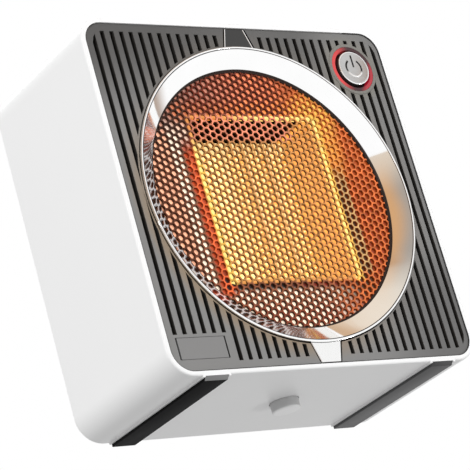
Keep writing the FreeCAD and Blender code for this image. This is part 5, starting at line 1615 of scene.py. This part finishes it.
def bounce_card():
    """Part of a dome, in front at the left; its angles are in degrees."""
    build = bmesh.new()
    turns, lifts, radius = CARD_TURNS, CARD_LIFTS, CARD_RADIUS
    rows = []
    for lift in range(lifts + 1):
        rise = math.radians(CARD_LOW + CARD_HEIGHT * lift / lifts)
        sweep = max(CARD_SWEEP, WRAP_SWEEP + WRAP_GROWTH * (lift / lifts - WRAP_START))
        row = []
        for turn in range(turns + 1):
            angle = math.radians(CARD_START + sweep * turn / turns)
            row.append(build.verts.new((radius * math.cos(rise) * math.cos(angle),
                                        radius * math.cos(rise) * math.sin(angle),
                                        MIDDLE + radius * math.sin(rise))))
        rows.append(row)
    for low, high in zip(rows, rows[1:]):
        for index in range(turns):
            build.faces.new((low[index], low[index + 1], high[index + 1], high[index]))
    return finish_mesh(build, "bounce_card")


card_mesh = bounce_card()
print("card faces:", len(card_mesh.polygons))

# %% [markdown]
# ## Light of the card
# The card runs from grey to amber, is beige low down, and pale at the top, at one end and in one
# patch. Several cards would show hard borders. One with soft zones has none, and only reflections
# see it.

# %% Light of the card
CARD_SIDE = (0.848, -0.53, 0)
BEND_START, BEND = 0.55, 0.82
CARD_PALE = (0.92, 0.9, 0.87)
PALE_PATCH = (0.16, -0.875, 0.86)


def stand_card(name, mesh):
    """Stand a card in the studio where only reflections see it."""
    card = bpy.data.objects.new(name, mesh)
    scene.collection.objects.link(card)
    for ray in ("camera", "diffuse", "transmission", "shadow"):
        setattr(card, "visible_" + ray, False)


card_paint, tree, shader = new_finish("card_paint", Roughness=1.0, Emission_Strength=1.0,
                                      Specular_IOR_Level=0.0)
parts = add_node(tree, "SeparateXYZ", {0: add_node(tree, "TexCoord").outputs["Object"]})
place = add_node(tree, "TexCoord").outputs["Object"]
side = add_node(tree, "VectorMath", {0: place, 1: CARD_SIDE},
                operation="DOT_PRODUCT").outputs["Value"]
lift = sums(tree, "MAXIMUM", sums(tree, "SUBTRACT", parts.outputs["Z"], BEND_START), 0.0)
side = sums(tree, "SUBTRACT", side,
            sums(tree, "MULTIPLY", sums(tree, "MULTIPLY", lift, lift), BEND))
amber = blend_colours(tree, fade(tree, side, 0.1, 0.19), (0.39, 0.355, 0.32), (0.66, 0.38, 0.185))
glow = blend_colours(tree, fade(tree, parts.outputs["Z"], 0.08, 0.5), (0.73, 0.63, 0.52), amber)
glow = blend_colours(tree, fade(tree, parts.outputs["Z"], 0.9, 1.22), glow, (0.87, 0.8, 0.7))
edge = both(tree, fade(tree, parts.outputs["X"], -0.2, 0.0),
            fade(tree, parts.outputs["Z"], 1.05, 0.92))
glow = blend_colours(tree, edge, glow, (0.4, 0.2, 0.095))
glow = blend_colours(tree, fade(tree, parts.outputs["Y"], -0.25, -0.1), glow, (0.62, 0.42, 0.27))
glow = blend_colours(tree, fade(tree, parts.outputs["Y"], -0.05, -0.03), glow, CARD_PALE)
out = add_node(tree, "VectorMath", {0: place, 1: PALE_PATCH}, operation="DISTANCE").outputs["Value"]
glow = blend_colours(tree, fade(tree, out, 0.1, 0.06), glow, CARD_PALE)
feed(tree, shader, Emission_Color=glow)
shader.inputs["Base Color"].default_value = (0, 0, 0, 1)
card_mesh.materials.append(card_paint)
stand_card("bounce_card", card_mesh)
print("card light:", card_paint.name)

# %% [markdown]
# ## Flag
# Photographers hang small flags where a reflection is too bright. This one shades a spot of the
# ring at its upper left. A darker spot on the large card would show elsewhere too. It fades to
# white, so only one edge is seen.

# %% Flag
FLAG_HALF_WIDTH = 0.06
FLAG_NEAR = Vector((0.95, -0.055, 0.176))
FLAG_FAR = Vector((0.95, -0.185, 0.04))


def flag_card():
    """Small beige card with one soft edge."""
    along = FLAG_FAR - FLAG_NEAR
    side = along.cross(Vector((1, 0, 0))).normalized() * FLAG_HALF_WIDTH
    mesh = bpy.data.meshes.new("flag_card")
    mesh.from_pydata([FLAG_NEAR - side, FLAG_FAR - side, FLAG_FAR + side, FLAG_NEAR + side], [],
                     [(0, 1, 2, 3)])
    material, tree, shader = new_finish("flag_paint", Roughness=1.0, Emission_Strength=1.0,
                                        Specular_IOR_Level=0.0)
    shader.inputs["Base Color"].default_value = (0, 0, 0, 1)
    place = add_node(tree, "TexCoord").outputs["Object"]
    offset = add_node(tree, "VectorMath", {0: place, 1: FLAG_NEAR}, operation="SUBTRACT").outputs[0]
    reach = add_node(tree, "VectorMath", {0: offset, 1: along.normalized()},
                     operation="DOT_PRODUCT").outputs["Value"]
    glow = blend_colours(tree, fade(tree, reach, 0.0, along.length), (0.44, 0.34, 0.28), (1, 1, 1))
    feed(tree, shader, Emission_Color=glow)
    mesh.materials.append(material)
    return mesh


stand_card("flag_card", flag_card())
print("flag, m long:", round((FLAG_FAR - FLAG_NEAR).length, 3))

# %% [markdown]
# ## View
# A plain view transform shows colours about as they are written, which a filmic one would not.

# %% View
scene.view_settings.view_transform = "Standard"
